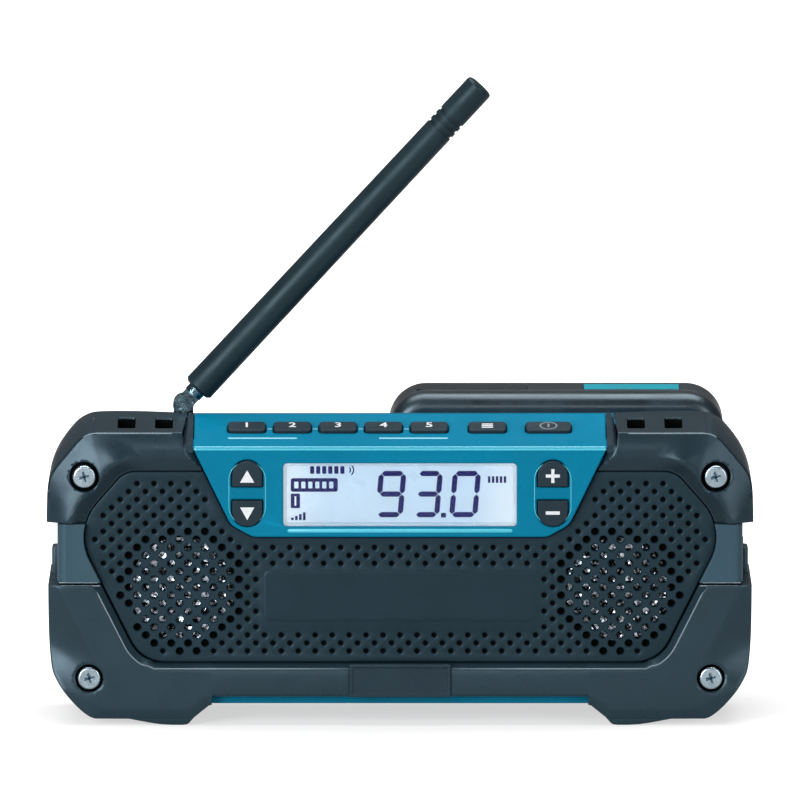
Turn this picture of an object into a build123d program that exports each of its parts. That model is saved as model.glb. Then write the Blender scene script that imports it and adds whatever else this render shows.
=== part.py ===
from build123d import *
import os
from math import atan2, cos, degrees, floor, hypot, radians, sin

# A compact jobsite radio. Millimetres, +X to the right, +Y to the back, +Z up.
# The origin is on the ground, in the middle of the box around the whole radio.
# Depths are counted backwards from the foremost face of the lower bumper.

os.makedirs("parts", exist_ok=True)

# ---- overall sizes --------------------------------------------------------------------------
BODY_WIDTH = 223.0  # over the bumpers
BODY_DEPTH = 47.5  # over the lower bumper
RIDGE_Z = 95.7  # top edge of the control panel
BUMPER_TOP_Z = 96.6
PACK_BACK_DEPTH = 76.7  # back of the battery pack
FOOT_HEIGHT = 2.0
HALF_WIDTH = BODY_WIDTH / 2
FRONT_Y = -PACK_BACK_DEPTH / 2

# ---- walls and clearances -------------------------------------------------------------------
SHELL_WALL = 2.2
FIT_GAP = 0.15  # between fixed mouldings
RUN_GAP = 0.3  # between parts that slide
SEAM_GAP = 0.4  # between the housing halves
SIDE_WALL = 5.9  # lower bumper at the sides
FLOOR_WALL = 4.2  # lower bumper underneath
SPLIT_DEPTH = 28.2  # back of the front housing

# ---- speaker grille -------------------------------------------------------------------------
GRILLE_FRONT = 5.0
GRILLE_THICKNESS = 2.0
GRILLE_BOTTOM_Z = 19.8
GRILLE_TOP_Z = 80.5
GRILLE_SIDE_Z = 62.2
GRILLE_BOTTOM_INSET = 30.0  # from the outer side to the lower corner
GRILLE_SIDE_INSET = 8.8
GRILLE_TOP_INSET = 24.8
GRILLE_BOTTOM_RADIUS = 12.0
GRILLE_SIDE_RADIUS = 16.0
GRILLE_TOP_RADIUS = 8.0
HOLE_PITCH = 5.35  # along a row
HOLE_ROW_STEP = 2.545  # from one row to the next, which is shifted by half a pitch
HOLE_RADIUS = 1.18
HOLE_FIELD_RADIUS = 20.3  # open holes lie this close to a speaker's axis

# ---- speakers -------------------------------------------------------------------------------
SPEAKER_INSET = 42.85  # from the outer side to the speaker's axis
SPEAKER_Z = 42.8
SPEAKER_RADIUS = 20.4
SPEAKER_OPENING = 18.6
GASKET_THICKNESS = 0.8
SPEAKER_FLANGE = 1.2
BASKET_DEPTH = 8.0
MAGNET_RADIUS = 11.0
MAGNET_DEPTH = 6.0
NECK_RADIUS = 7.0  # opening in the back of the basket
CONE_THICKNESS = 0.5
CONE_RIM = 16.4
DUST_CAP_RADIUS = 5.2
CONE_SINK = 1.4  # from the frame's front to the middle of the dust cap
CONE_THROAT = 4.2  # from the frame's front to the deepest part of the cone
SPEAKER_SCREW_REACH = 2.2  # from the frame's edge to a clamping screw
SPEAKER_CLAMP_RADIUS = 3.2
SPEAKER_CLAMP_HEIGHT = 1.2

# ---- control panel --------------------------------------------------------------------------
PANEL_FRONT = 2.5
PANEL_RISE = 7.2  # from the front crease to the ridge
PANEL_CREASE_Z = RIDGE_Z - PANEL_RISE
PANEL_TOP_HALF = 65.3
PANEL_LOWER_HALF = 53.4
PANEL_SHOULDER_DROP = 24.6  # from the crease to the lower corners
PANEL_HEIGHT = 28.5  # from the crease to the lower edge
PANEL_FOOT_HALF = 46.5
PANEL_CORNER_RADIUS = 6.0
NECK_HALF = 65.0  # half width of the housing under the top slope

# ---- display --------------------------------------------------------------------------------
WINDOW_WIDTH = 73.3
WINDOW_HEIGHT = 19.9
WINDOW_DROP = 5.2  # below the crease
WINDOW_RECESS = 1.0
WINDOW_FLANGE = 1.0
FLANGE_THICKNESS = 0.5
LCD_THICKNESS = 2.0
LIGHT_GUIDE_THICKNESS = 2.4

# ---- keys -----------------------------------------------------------------------------------
KEY_TRAVEL = 0.6
KEY_CLEARANCE = 0.25
KEY_PROUD = 1.0
KEY_FLANGE = 1.0
KEY_LIP = 0.9
STEM_GAP = 0.15  # left above a switch when its key is fully in
STEM_RADIUS = 1.6
TOP_KEY_WIDTH = 11.8
TOP_KEY_LENGTH = 7.0
TOP_KEY_PITCH = 14.4
TOP_KEY_UP = 14.9  # up the slope, from the crease to the middle of a key
TOP_KEY_STEM = 1.7
PRESET_COUNT = 5
PRESET_FIRST_X = -48.4
BAND_KEY_STEP = 18.4  # from the last preset key
POWER_KEY_STEP = 19.3  # from the band key
POWER_KEY_WIDTH = 14.2
FRONT_KEY_X = 48.15
FRONT_KEY_WIDTH = 9.5
FRONT_KEY_STRAIGHT = 3.5  # straight part of its height, below or above the round end
UPPER_KEY_DROP = 12.4  # from the crease to the flat end of an upper key
LOWER_KEY_DROP = 16.8
SWITCH_SIZE = 6.0
SWITCH_HEIGHT = 3.1
PLUNGER_RADIUS = 1.7
PLUNGER_HEIGHT = 0.5

# ---- boards ---------------------------------------------------------------------------------
BOARD_THICKNESS = 1.6
BOARD_FRONT = 11.0
BOARD_TOP_DROP = 7.5  # below the crease
BOARD_STEP_Z = 63.4  # above this the board is wide
BOARD_BOTTOM_Z = 24.0
BOARD_UPPER_HALF = 56.0
BOARD_SPEAKER_GAP = 2.25  # from a speaker's frame to the board's lower part
KEY_BOARD_HALF = 60.0
KEY_BOARD_LENGTH = 12.0
KEY_POST_RADIUS = 2.0
BOSS_RADIUS = 3.2
BOARD_SCREW_INSET = 4.5
BOARD_SCREW_LOW_Z = 28.0
BOARD_SCREW_HIGH_Z = 58.0
SMALL_SCREW_RADIUS = 1.2
SMALL_HEAD_RADIUS = 2.3
SMALL_HEAD_HEIGHT = 1.4
SMALL_SCREW_LENGTH = 5.0
AMPLIFIER_WIDTH = 20.0
AMPLIFIER_LENGTH = 16.0
AMPLIFIER_HEIGHT = 5.0
CHIP_SIZE = 12.0
CHIP_HEIGHT = 1.8
MEMORY_WIDTH = 14.0
MEMORY_LENGTH = 7.0
CAPACITOR_RADIUS = 3.6
CAPACITOR_HEIGHT = 9.0
PLUG_WIDTH = 10.0
PLUG_LENGTH = 5.0
PLUG_HEIGHT = 6.0

# ---- upper bumpers --------------------------------------------------------------------------
UPPER_BOTTOM_Z = 64.4
FACET_DEPTH = 0.8  # foremost face of an upper bumper
FACET_FOOT = 4.6  # where its sloping flanks end
BUMPER_TOP_FALL = 3.5  # from the ridge down to the front edge of the top
BUMPER_END_X = 68.6
TAB_PROUD = 0.3  # strip beside the panel, above the slope
TAB_GROOVE_WIDTH = 0.6
TAB_GROOVE_DEPTH = 2.2
BUMPER_ROOF = 4.0
BROW_DEPTH = 3.0
BROW_HEIGHT = 6.6
CORNER_WIDTH = 15.5  # the corner cut, seen from the front
CORNER_HEIGHT = 16.1
POCKET_FLOOR_Z = 84.5  # top of the core under the strap pocket
STRAP_SLOT_WIDTH = 5.5
STRAP_SLOT_LENGTH = 11.3
STRAP_SLOT_FRONT = 9.6
STRAP_BAR = 6.3
STRAP_SLOT_INSET = 25.2  # from the outer side to the outer slot's middle

# ---- lower bumper ---------------------------------------------------------------------------
LOWER_TOP_Z = 45.0
LOWER_FACET_FOOT = 4.0
LEG_HALF = 59.4  # half the opening between the legs
LEG_SLOPE_WIDTH = 5.1
BAR_BOTTOM_Z = 9.2
CHEEK_TOP_Z = 53.0
CHEEK_FRONT = 29.0
CHEEK_BACK = 36.8
FOOT_OUTER_INSET = 25.7
FOOT_LENGTH = 19.5
FOOT_WIDTH = 9.0
FRONT_FOOT_DEPTH = 3.5
REAR_FOOT_DEPTH = 37.0
BADGE_HALF = 16.0
BADGE_FRONT = 0.5
BADGE_RECESS = 0.4
BADGE_RIM = 1.1
BADGE_BACK = 3.1
BAR_FRONT = 1.3

# ---- side panels ----------------------------------------------------------------------------
SIDE_PANEL_INSET = 3.4
SIDE_PANEL_FRONT = 2.0
PANEL_SEAM = 0.3

# ---- name plate -----------------------------------------------------------------------------
PLATE_HALF = 43.0
PLATE_BOTTOM_Z = 32.8
PLATE_HEIGHT = 16.2
PLATE_THICKNESS = 0.8
PLATE_MARGIN = 2.0  # bare grille around the plate

# ---- front and rear screws ------------------------------------------------------------------
UPPER_SCREW_INSET = 12.0
UPPER_SCREW_Z = 79.2
LOWER_SCREW_INSET = 13.4
LOWER_SCREW_Z = 15.0
SCREW_HEAD_RADIUS = 3.65
SCREW_HEAD_HEIGHT = 2.2
SCREW_SEAT_RADIUS = 4.4
SCREW_RADIUS = 1.75
SCREW_HEAD_DEPTH = 1.6
FRONT_SCREW_LENGTH = 17.0
REAR_SCREW_LENGTH = 28.0
REAR_HEAD_RADIUS = 3.0
REAR_SCREW_RADIUS = 1.5
REAR_SCREW_SINK = 14.0
REAR_SCREW_LOW_STEP_X = 4.0  # from a lower front screw, inwards
REAR_SCREW_LOW_STEP_Z = 11.0  # and upwards
REAR_SCREW_HIGH_STEP_X = 6.5  # from an upper front screw, inwards
REAR_SCREW_HIGH_STEP_Z = 9.5  # and downwards
REAR_SCREW_MIDDLE_X = 30.0
REAR_SCREW_MIDDLE_RISE = 8.0
SCREW_BOSS_RADIUS = 4.0
CROSS_LENGTH = 3.8
CROSS_WIDTH = 0.9
CROSS_DEPTH = 1.1

# ---- battery bay and pack -------------------------------------------------------------------
PACK_RIGHT = HALF_WIDTH - 8.5
PACK_WIDTH = 106.5
PACK_LEFT = PACK_RIGHT - PACK_WIDTH
PACK_BOTTOM_Z = 37.0
PACK_TOP_Z = 99.2
PACK_FRONT_DEPTH = 48.2
PACK_CORNER = 12.0
PACK_EDGE = 3.0
PACK_FRONT_EDGE = 5.0  # large rounding towards the radio
PACK_WALL = 1.8
PACK_SHOULDER = 2.6  # thickness of the pack's front wall
PACK_SPLIT_DEPTH = 57.0
HEAD_RIGHT = PACK_RIGHT - 23.0
HEAD_WIDTH = 60.0
HEAD_LEFT = HEAD_RIGHT - HEAD_WIDTH
HEAD_BOTTOM_Z = 50.5
HEAD_TOP_Z = 85.5
HEAD_FRONT_DEPTH = 38.0
RAIL_DEPTH = 41.7
RAIL_WIDTH = 2.6
RAIL_REACH = 3.0
BAY_LEFT = HEAD_LEFT - 8.0
BAY_FLOOR_GAP = 0.5
BAY_FLOOR_WALL = 3.5
CELL_ROOM = 5.9  # left around a cell, front to back
CELL_LENGTH = 65.0
CELL_GAP = 0.3
CELL_SETBACK = 1.6  # behind the middle of the pack
PACK_SCREW_LENGTH = 16.0
PACK_SCREW_SINK = 1.4
PACK_HEAD_HEIGHT = 1.6
PACK_SCREW_INSET_X = 7.25
PACK_SCREW_INSET_Z = 7.6
PACK_BOSS_RADIUS = 3.2
BLADE_THICKNESS = 0.8
BLADE_HEIGHT = 4.0
BLADE_LENGTH = 9.0
BLADE_PITCH = 9.5
BLOCK_FRONT_RISE = 0.8
LABEL_THICKNESS = 0.5
GRIP_LEFT = PACK_LEFT + 8.5
GRIP_LENGTH = 35.5
LABEL_RIGHT = PACK_RIGHT - 14.0
LABEL_LENGTH = 30.5
LABEL_WIDTH = 12.0
LATCH_TRAVEL = 2.0
LATCH_WIDTH = 8.0
LATCH_HEIGHT = 12.0
LATCH_TOOTH = 5.0
LATCH_ARM = 1.6
LATCH_BUTTON_PROUD = 0.6

# ---- antenna --------------------------------------------------------------------------------
PIVOT_X = -68.6
PIVOT_DEPTH = 34.0
PIVOT_Z = 98.0
GROOVE_FLOOR_Z = 92.4
GROOVE_LEFT = -76.0
GROOVE_RIGHT = 73.0
REAR_TOP_Z = 93.8
REAR_EDGE = 4.0  # bevel along its upper back edge
ROD_ANGLE = 47.2
ROD_START = 6.5
ROD_LENGTH = 138.5
ROD_RADIUS = 4.95
ROD_TIP_RADIUS = 4.6
ROD_GAP = 0.75
TIP_CAP_LENGTH = 12.0
RING_COUNT = 3
RING_PITCH = 2.4
RING_WIDTH = 1.1
RING_DEPTH = 0.45
CORE_ROD_RADIUS = 1.6
KNUCKLE_RADIUS = 3.3
BLADE_HALF = 1.4  # half the knuckle's thickness at the pin
CHEEK_THICKNESS = 1.6
PIN_RADIUS = 1.1
FORK_BASE_RADIUS = 4.0
POST_RADIUS = 2.0
BUSHING_RADIUS = 4.6
BUSHING_FLANGE = 0.9
BARREL_RADIUS = 3.0
BARREL_LENGTH = 7.5
NUT_RADIUS = 4.4
NUT_HEIGHT = 2.4

# ---- field on the back ----------------------------------------------------------------------
REAR_FIELD_X = -48.0
REAR_FIELD_Z = 52.0
REAR_FIELD_WIDTH = 72.0
REAR_FIELD_HEIGHT = 44.0
REAR_FIELD_DEPTH = 0.6
REAR_GROOVES = 6
REAR_GROOVE_PITCH = 6.0

# ---- audio socket ---------------------------------------------------------------------------
JACK_DEPTH = 15.0
JACK_Z = 54.7
JACK_BORE_RADIUS = 1.8
JACK_BARREL_RADIUS = 3.4
JACK_BODY = 8.0
JACK_LENGTH = 14.0
COVER_WIDTH = 13.0
COVER_HEIGHT = 11.0
COVER_THICKNESS = 1.4


# ---- shared places --------------------------------------------------------------------------
def front_plane(depth):
    """Upright plane that faces the front, this far behind the foremost face."""
    return Plane.XZ.offset(-(FRONT_Y + depth))


def at(x, depth, z):
    return (x, FRONT_Y + depth, z)


def both_sides(points):
    """A right-hand half outline and its mirror image, as one closed loop."""
    return list(points) + [(-x, z) for x, z in reversed(points)]


CORE_FRONT = GRILLE_FRONT + GRILLE_THICKNESS + FIT_GAP
CORE_INSIDE = CORE_FRONT + SHELL_WALL
CORE_HALF = HALF_WIDTH - SIDE_WALL
CORE_BOTTOM_Z = FOOT_HEIGHT + FLOOR_WALL
CORE_LOWER_CUT = 12.8
CORE_UPPER_CUT = 7.0
REAR_FRONT = SPLIT_DEPTH + SEAM_GAP
REAR_INSIDE = BODY_DEPTH - SHELL_WALL
SLOPE_ANGLE = degrees(atan2(PANEL_RISE, SPLIT_DEPTH - PANEL_FRONT))
SLOPE = Plane(
    origin=at(0, PANEL_FRONT, PANEL_CREASE_Z),
    x_dir=(1, 0, 0),
    z_dir=(0, -sin(radians(SLOPE_ANGLE)), cos(radians(SLOPE_ANGLE))),
)
SPEAKER_X = HALF_WIDTH - SPEAKER_INSET
UPPER_SCREW_X = HALF_WIDTH - UPPER_SCREW_INSET
LOWER_SCREW_X = HALF_WIDTH - LOWER_SCREW_INSET
FRONT_SCREWS = [
    (-UPPER_SCREW_X, UPPER_SCREW_Z),
    (UPPER_SCREW_X, UPPER_SCREW_Z),
    (-LOWER_SCREW_X, LOWER_SCREW_Z),
    (LOWER_SCREW_X, LOWER_SCREW_Z),
]
rear_low_x = LOWER_SCREW_X - REAR_SCREW_LOW_STEP_X
REAR_SCREWS = [
    (-rear_low_x, LOWER_SCREW_Z + REAR_SCREW_LOW_STEP_Z),
    (rear_low_x, LOWER_SCREW_Z + REAR_SCREW_LOW_STEP_Z),
    (REAR_SCREW_HIGH_STEP_X - UPPER_SCREW_X, UPPER_SCREW_Z - REAR_SCREW_HIGH_STEP_Z),
    (-REAR_SCREW_MIDDLE_X, CORE_BOTTOM_Z + REAR_SCREW_MIDDLE_RISE),
    (REAR_SCREW_MIDDLE_X, CORE_BOTTOM_Z + REAR_SCREW_MIDDLE_RISE),
]
BOARD_LOWER_HALF = SPEAKER_X - SPEAKER_RADIUS - BOARD_SPEAKER_GAP
BOARD_SCREW_X = BOARD_LOWER_HALF - BOARD_SCREW_INSET
BOARD_SCREWS = [
    (side * BOARD_SCREW_X, z) for side in (-1, 1) for z in (BOARD_SCREW_LOW_Z, BOARD_SCREW_HIGH_Z)
]
BOARD_BACK = BOARD_FRONT + BOARD_THICKNESS
SWITCH_FRONT = BOARD_FRONT - SWITCH_HEIGHT
TOP_KEY_BELOW = SHELL_WALL + RUN_GAP + KEY_FLANGE + TOP_KEY_STEM
TOP_SWITCH_TOP = TOP_KEY_BELOW + KEY_TRAVEL + STEM_GAP + PLUNGER_HEIGHT
KEY_BOARD_TOP = TOP_SWITCH_TOP + SWITCH_HEIGHT
BAND_KEY_X = PRESET_FIRST_X + (PRESET_COUNT - 1) * TOP_KEY_PITCH + BAND_KEY_STEP
POWER_KEY_X = BAND_KEY_X + POWER_KEY_STEP
TOP_KEYS = [
    (f"preset_{i + 1}_button", PRESET_FIRST_X + i * TOP_KEY_PITCH, TOP_KEY_WIDTH)
    for i in range(PRESET_COUNT)
]
TOP_KEYS += [
    ("band_button", BAND_KEY_X, TOP_KEY_WIDTH),
    ("power_button", POWER_KEY_X, POWER_KEY_WIDTH),
]
WINDOW_TOP_Z = PANEL_CREASE_Z - WINDOW_DROP
WINDOW_Z = WINDOW_TOP_Z - WINDOW_HEIGHT / 2
UPPER_KEY_Z = PANEL_CREASE_Z - UPPER_KEY_DROP
LOWER_KEY_Z = PANEL_CREASE_Z - LOWER_KEY_DROP
FRONT_KEYS = [
    ("tune_up_button", -FRONT_KEY_X, UPPER_KEY_Z, 1),
    ("tune_down_button", -FRONT_KEY_X, LOWER_KEY_Z, -1),
    ("volume_up_button", FRONT_KEY_X, UPPER_KEY_Z, 1),
    ("volume_down_button", FRONT_KEY_X, LOWER_KEY_Z, -1),
]


def core_outline(inset, top):
    """Front view of the housing under the bumpers, drawn in by an inset."""
    floor_z = CORE_BOTTOM_Z + inset
    side = CORE_HALF - inset
    shoulder = POCKET_FLOOR_Z - inset
    cut_back = inset * (2 - 2**0.5)
    low = CORE_LOWER_CUT - cut_back
    high = CORE_UPPER_CUT - cut_back
    return both_sides(
        [
            (side - low, floor_z),
            (side, floor_z + low),
            (side, shoulder - high),
            (side - high, shoulder),
            (NECK_HALF - inset, shoulder),
            (NECK_HALF - inset, top),
        ]
    )


def panel_outline(inset, top):
    """Front view of the control panel, drawn in by an inset."""
    slant = PANEL_TOP_HALF - PANEL_LOWER_HALF
    lean = inset * ((slant**2 + PANEL_SHOULDER_DROP**2) ** 0.5) / PANEL_SHOULDER_DROP
    shoulder = PANEL_CREASE_Z - PANEL_SHOULDER_DROP
    return both_sides(
        [
            (PANEL_FOOT_HALF - lean, PANEL_CREASE_Z - PANEL_HEIGHT + inset),
            (PANEL_LOWER_HALF - lean, shoulder),
            (PANEL_TOP_HALF - lean, PANEL_CREASE_Z),
            (PANEL_TOP_HALF - lean, top),
        ]
    )


def housing_block(inset, front_inset, back):
    """The front half of the core as a solid, drawn in by an inset, from the panel to a depth."""
    core_front = CORE_FRONT + front_inset
    panel_front = PANEL_FRONT + front_inset
    with BuildPart() as block:
        with BuildSketch(front_plane(core_front)):
            Polygon(*core_outline(inset, RIDGE_Z + BUMPER_ROOF))
        extrude(amount=-(back - core_front))
        with BuildSketch(front_plane(panel_front)) as panel:
            Polygon(*panel_outline(inset, RIDGE_Z + BUMPER_ROOF))
            low_corners = panel.vertices().group_by(Axis.Y)
            fillet(low_corners[0] + low_corners[1], PANEL_CORNER_RADIUS - inset)
        extrude(amount=-(core_front - panel_front + SHELL_WALL))
        split(bisect_by=SLOPE.offset(-inset), keep=Keep.BOTTOM)
    return block.part


def grille_sketch_outline():
    return both_sides(
        [
            (HALF_WIDTH - GRILLE_BOTTOM_INSET, GRILLE_BOTTOM_Z),
            (HALF_WIDTH - GRILLE_SIDE_INSET, GRILLE_SIDE_Z),
            (HALF_WIDTH - GRILLE_TOP_INSET, GRILLE_TOP_Z),
        ]
    )


def grille_block(gap, front, back):
    """The grille's outline, grown by a gap, as a solid between two depths."""
    with BuildPart() as block:
        with BuildSketch(front_plane(front)) as outline:
            Polygon(*grille_sketch_outline())
            rows = outline.vertices().group_by(Axis.Y)
            fillet(rows[0], GRILLE_BOTTOM_RADIUS)
            fillet(outline.vertices().group_by(Axis.Y)[2], GRILLE_SIDE_RADIUS)
            fillet(outline.vertices().group_by(Axis.Y)[-1], GRILLE_TOP_RADIUS)
            offset(amount=gap)
        extrude(amount=-(back - front))
    return block.part


def panel_block(gap, front, back):
    """The control panel's outline, grown by a gap, as a solid between two depths."""
    with BuildPart() as block:
        with BuildSketch(front_plane(front)) as outline:
            Polygon(*panel_outline(-gap, RIDGE_Z + BUMPER_ROOF))
            low_corners = outline.vertices().group_by(Axis.Y)
            fillet(low_corners[0] + low_corners[1], PANEL_CORNER_RADIUS + gap)
        extrude(amount=-(back - front))
    return block.part


def save(part, name):
    part.label = name
    export_step(part, f"parts/{name}.step")


def save_mirrored(part, name):
    """Writes the left-hand twin of a right-hand part."""
    with BuildPart() as twin:
        mirror(part, about=Plane.YZ)
    save(twin.part, name)


# ---- outer envelopes that the bumpers fit around --------------------------------------------
core_envelope = housing_block(-FIT_GAP, -FIT_GAP, BODY_DEPTH + PACK_BACK_DEPTH)
grille_envelope = grille_block(FIT_GAP, -GRILLE_FRONT, CORE_FRONT)
panel_envelope = panel_block(SEAM_GAP, -GRILLE_FRONT, CORE_FRONT)

# ---- front housing: the teal core with the control panel ------------------------------------
front_cavity = housing_block(SHELL_WALL, SHELL_WALL, SPLIT_DEPTH)
front_shell = housing_block(0, 0, SPLIT_DEPTH)
LONG_BOSS_BACK = SPLIT_DEPTH - 1.0
FRONT_KEY_RADIUS = FRONT_KEY_WIDTH / 2
KEY_OPENING_DEPTH = SHELL_WALL + KEY_TRAVEL + 2 * RUN_GAP


def front_key_sketch(x, z, way, gap):
    """A key with one flat end at z and one round end above (way 1) or below (way -1) it."""
    with Locations((x, z + way * FRONT_KEY_STRAIGHT / 2)):
        Rectangle(FRONT_KEY_WIDTH + 2 * gap, FRONT_KEY_STRAIGHT + 2 * gap)
    with Locations((x, z + way * FRONT_KEY_STRAIGHT)):
        Circle(FRONT_KEY_RADIUS + gap)
    overshoot = FRONT_KEY_RADIUS - FRONT_KEY_STRAIGHT
    with Locations((x, z - way * (gap + overshoot / 2))):
        Rectangle(FRONT_KEY_WIDTH + 2 * gap, overshoot, mode=Mode.SUBTRACT)


with BuildPart() as front_housing:
    add(front_shell)
    add(front_cavity, mode=Mode.SUBTRACT)
    # bosses for the bumper screws and for the screws that come in from the rear
    with BuildSketch(front_plane(CORE_INSIDE - SHELL_WALL / 2)):
        with Locations(*FRONT_SCREWS, *REAR_SCREWS):
            Circle(SCREW_BOSS_RADIUS)
    extrude(amount=-(LONG_BOSS_BACK - CORE_INSIDE + SHELL_WALL / 2))
    add(front_shell, mode=Mode.INTERSECT)
    # bosses that carry the main board
    with BuildSketch(front_plane(CORE_INSIDE - SHELL_WALL / 2)):
        with Locations(*BOARD_SCREWS):
            Circle(BOSS_RADIUS)
    extrude(amount=-(BOARD_FRONT - CORE_INSIDE + SHELL_WALL / 2))
    # posts that carry the key board under the slope
    with BuildSketch(SLOPE.offset(-SHELL_WALL / 2)):
        with Locations(*[(side * (KEY_BOARD_HALF - KEY_POST_RADIUS), TOP_KEY_UP) for side in (-1, 1)]):
            Circle(KEY_POST_RADIUS)
    extrude(amount=-(KEY_BOARD_TOP - SHELL_WALL / 2))
    # openings for the window, the keys and the speakers
    with BuildSketch(front_plane(PANEL_FRONT)):
        with Locations((0, WINDOW_Z)):
            RectangleRounded(WINDOW_WIDTH + 2 * FIT_GAP, WINDOW_HEIGHT + 2 * FIT_GAP, 1.2)
        for _, key_x, key_z, way in FRONT_KEYS:
            front_key_sketch(key_x, key_z, way, KEY_CLEARANCE)
    extrude(amount=-KEY_OPENING_DEPTH, mode=Mode.SUBTRACT)
    with BuildSketch(SLOPE):
        for _, key_x, key_width in TOP_KEYS:
            with Locations((key_x, TOP_KEY_UP)):
                RectangleRounded(
                    key_width + 2 * KEY_CLEARANCE, TOP_KEY_LENGTH + 2 * KEY_CLEARANCE, 1.6
                )
    extrude(amount=-KEY_OPENING_DEPTH, mode=Mode.SUBTRACT)
    with BuildSketch(front_plane(CORE_FRONT)):
        with Locations((-SPEAKER_X, SPEAKER_Z), (SPEAKER_X, SPEAKER_Z)):
            Circle(SPEAKER_OPENING)
    extrude(amount=-SHELL_WALL, mode=Mode.SUBTRACT)
    # screw holes
    with BuildSketch(front_plane(CORE_FRONT)):
        with Locations(*FRONT_SCREWS):
            Circle(SCREW_RADIUS)
    extrude(amount=-(FRONT_SCREW_LENGTH + SCREW_HEAD_DEPTH - CORE_FRONT + 1), mode=Mode.SUBTRACT)
    with BuildSketch(front_plane(LONG_BOSS_BACK)):
        with Locations(*REAR_SCREWS):
            Circle(REAR_SCREW_RADIUS)
    extrude(amount=REAR_SCREW_SINK, mode=Mode.SUBTRACT)
    with BuildSketch(front_plane(BOARD_FRONT)):
        with Locations(*BOARD_SCREWS):
            Circle(SMALL_SCREW_RADIUS)
    extrude(amount=BOARD_FRONT - CORE_FRONT - 1, mode=Mode.SUBTRACT)
    # bore for the audio socket in the right side wall
    with BuildSketch(Plane.YZ.offset(CORE_HALF - SHELL_WALL)):
        with Locations((FRONT_Y + JACK_DEPTH, JACK_Z)):
            Circle(JACK_BARREL_RADIUS + FIT_GAP)
    extrude(amount=SHELL_WALL, mode=Mode.SUBTRACT)
save(front_housing.part, "front_housing")

# ---- rear housing: battery bay at the back, antenna groove on top ---------------------------
BAY_BOTTOM_Z = HEAD_BOTTOM_Z - RUN_GAP
BAY_TOP_Z = HEAD_TOP_Z + RUN_GAP
BAY_FLOOR = HEAD_FRONT_DEPTH - BAY_FLOOR_GAP
BAY_Z = (BAY_BOTTOM_Z + BAY_TOP_Z) / 2
REAR_CUT_WIDTH = 10.6
REAR_CUT_HEIGHT = 15.9


def rear_outline(inset, top):
    floor_z = CORE_BOTTOM_Z + inset
    side = CORE_HALF - inset
    low = CORE_LOWER_CUT - inset * (2 - 2**0.5)
    return both_sides(
        [
            (side - low, floor_z),
            (side, floor_z + low),
            (side, top - REAR_CUT_HEIGHT),
            (side - REAR_CUT_WIDTH, top),
        ]
    )


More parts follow.
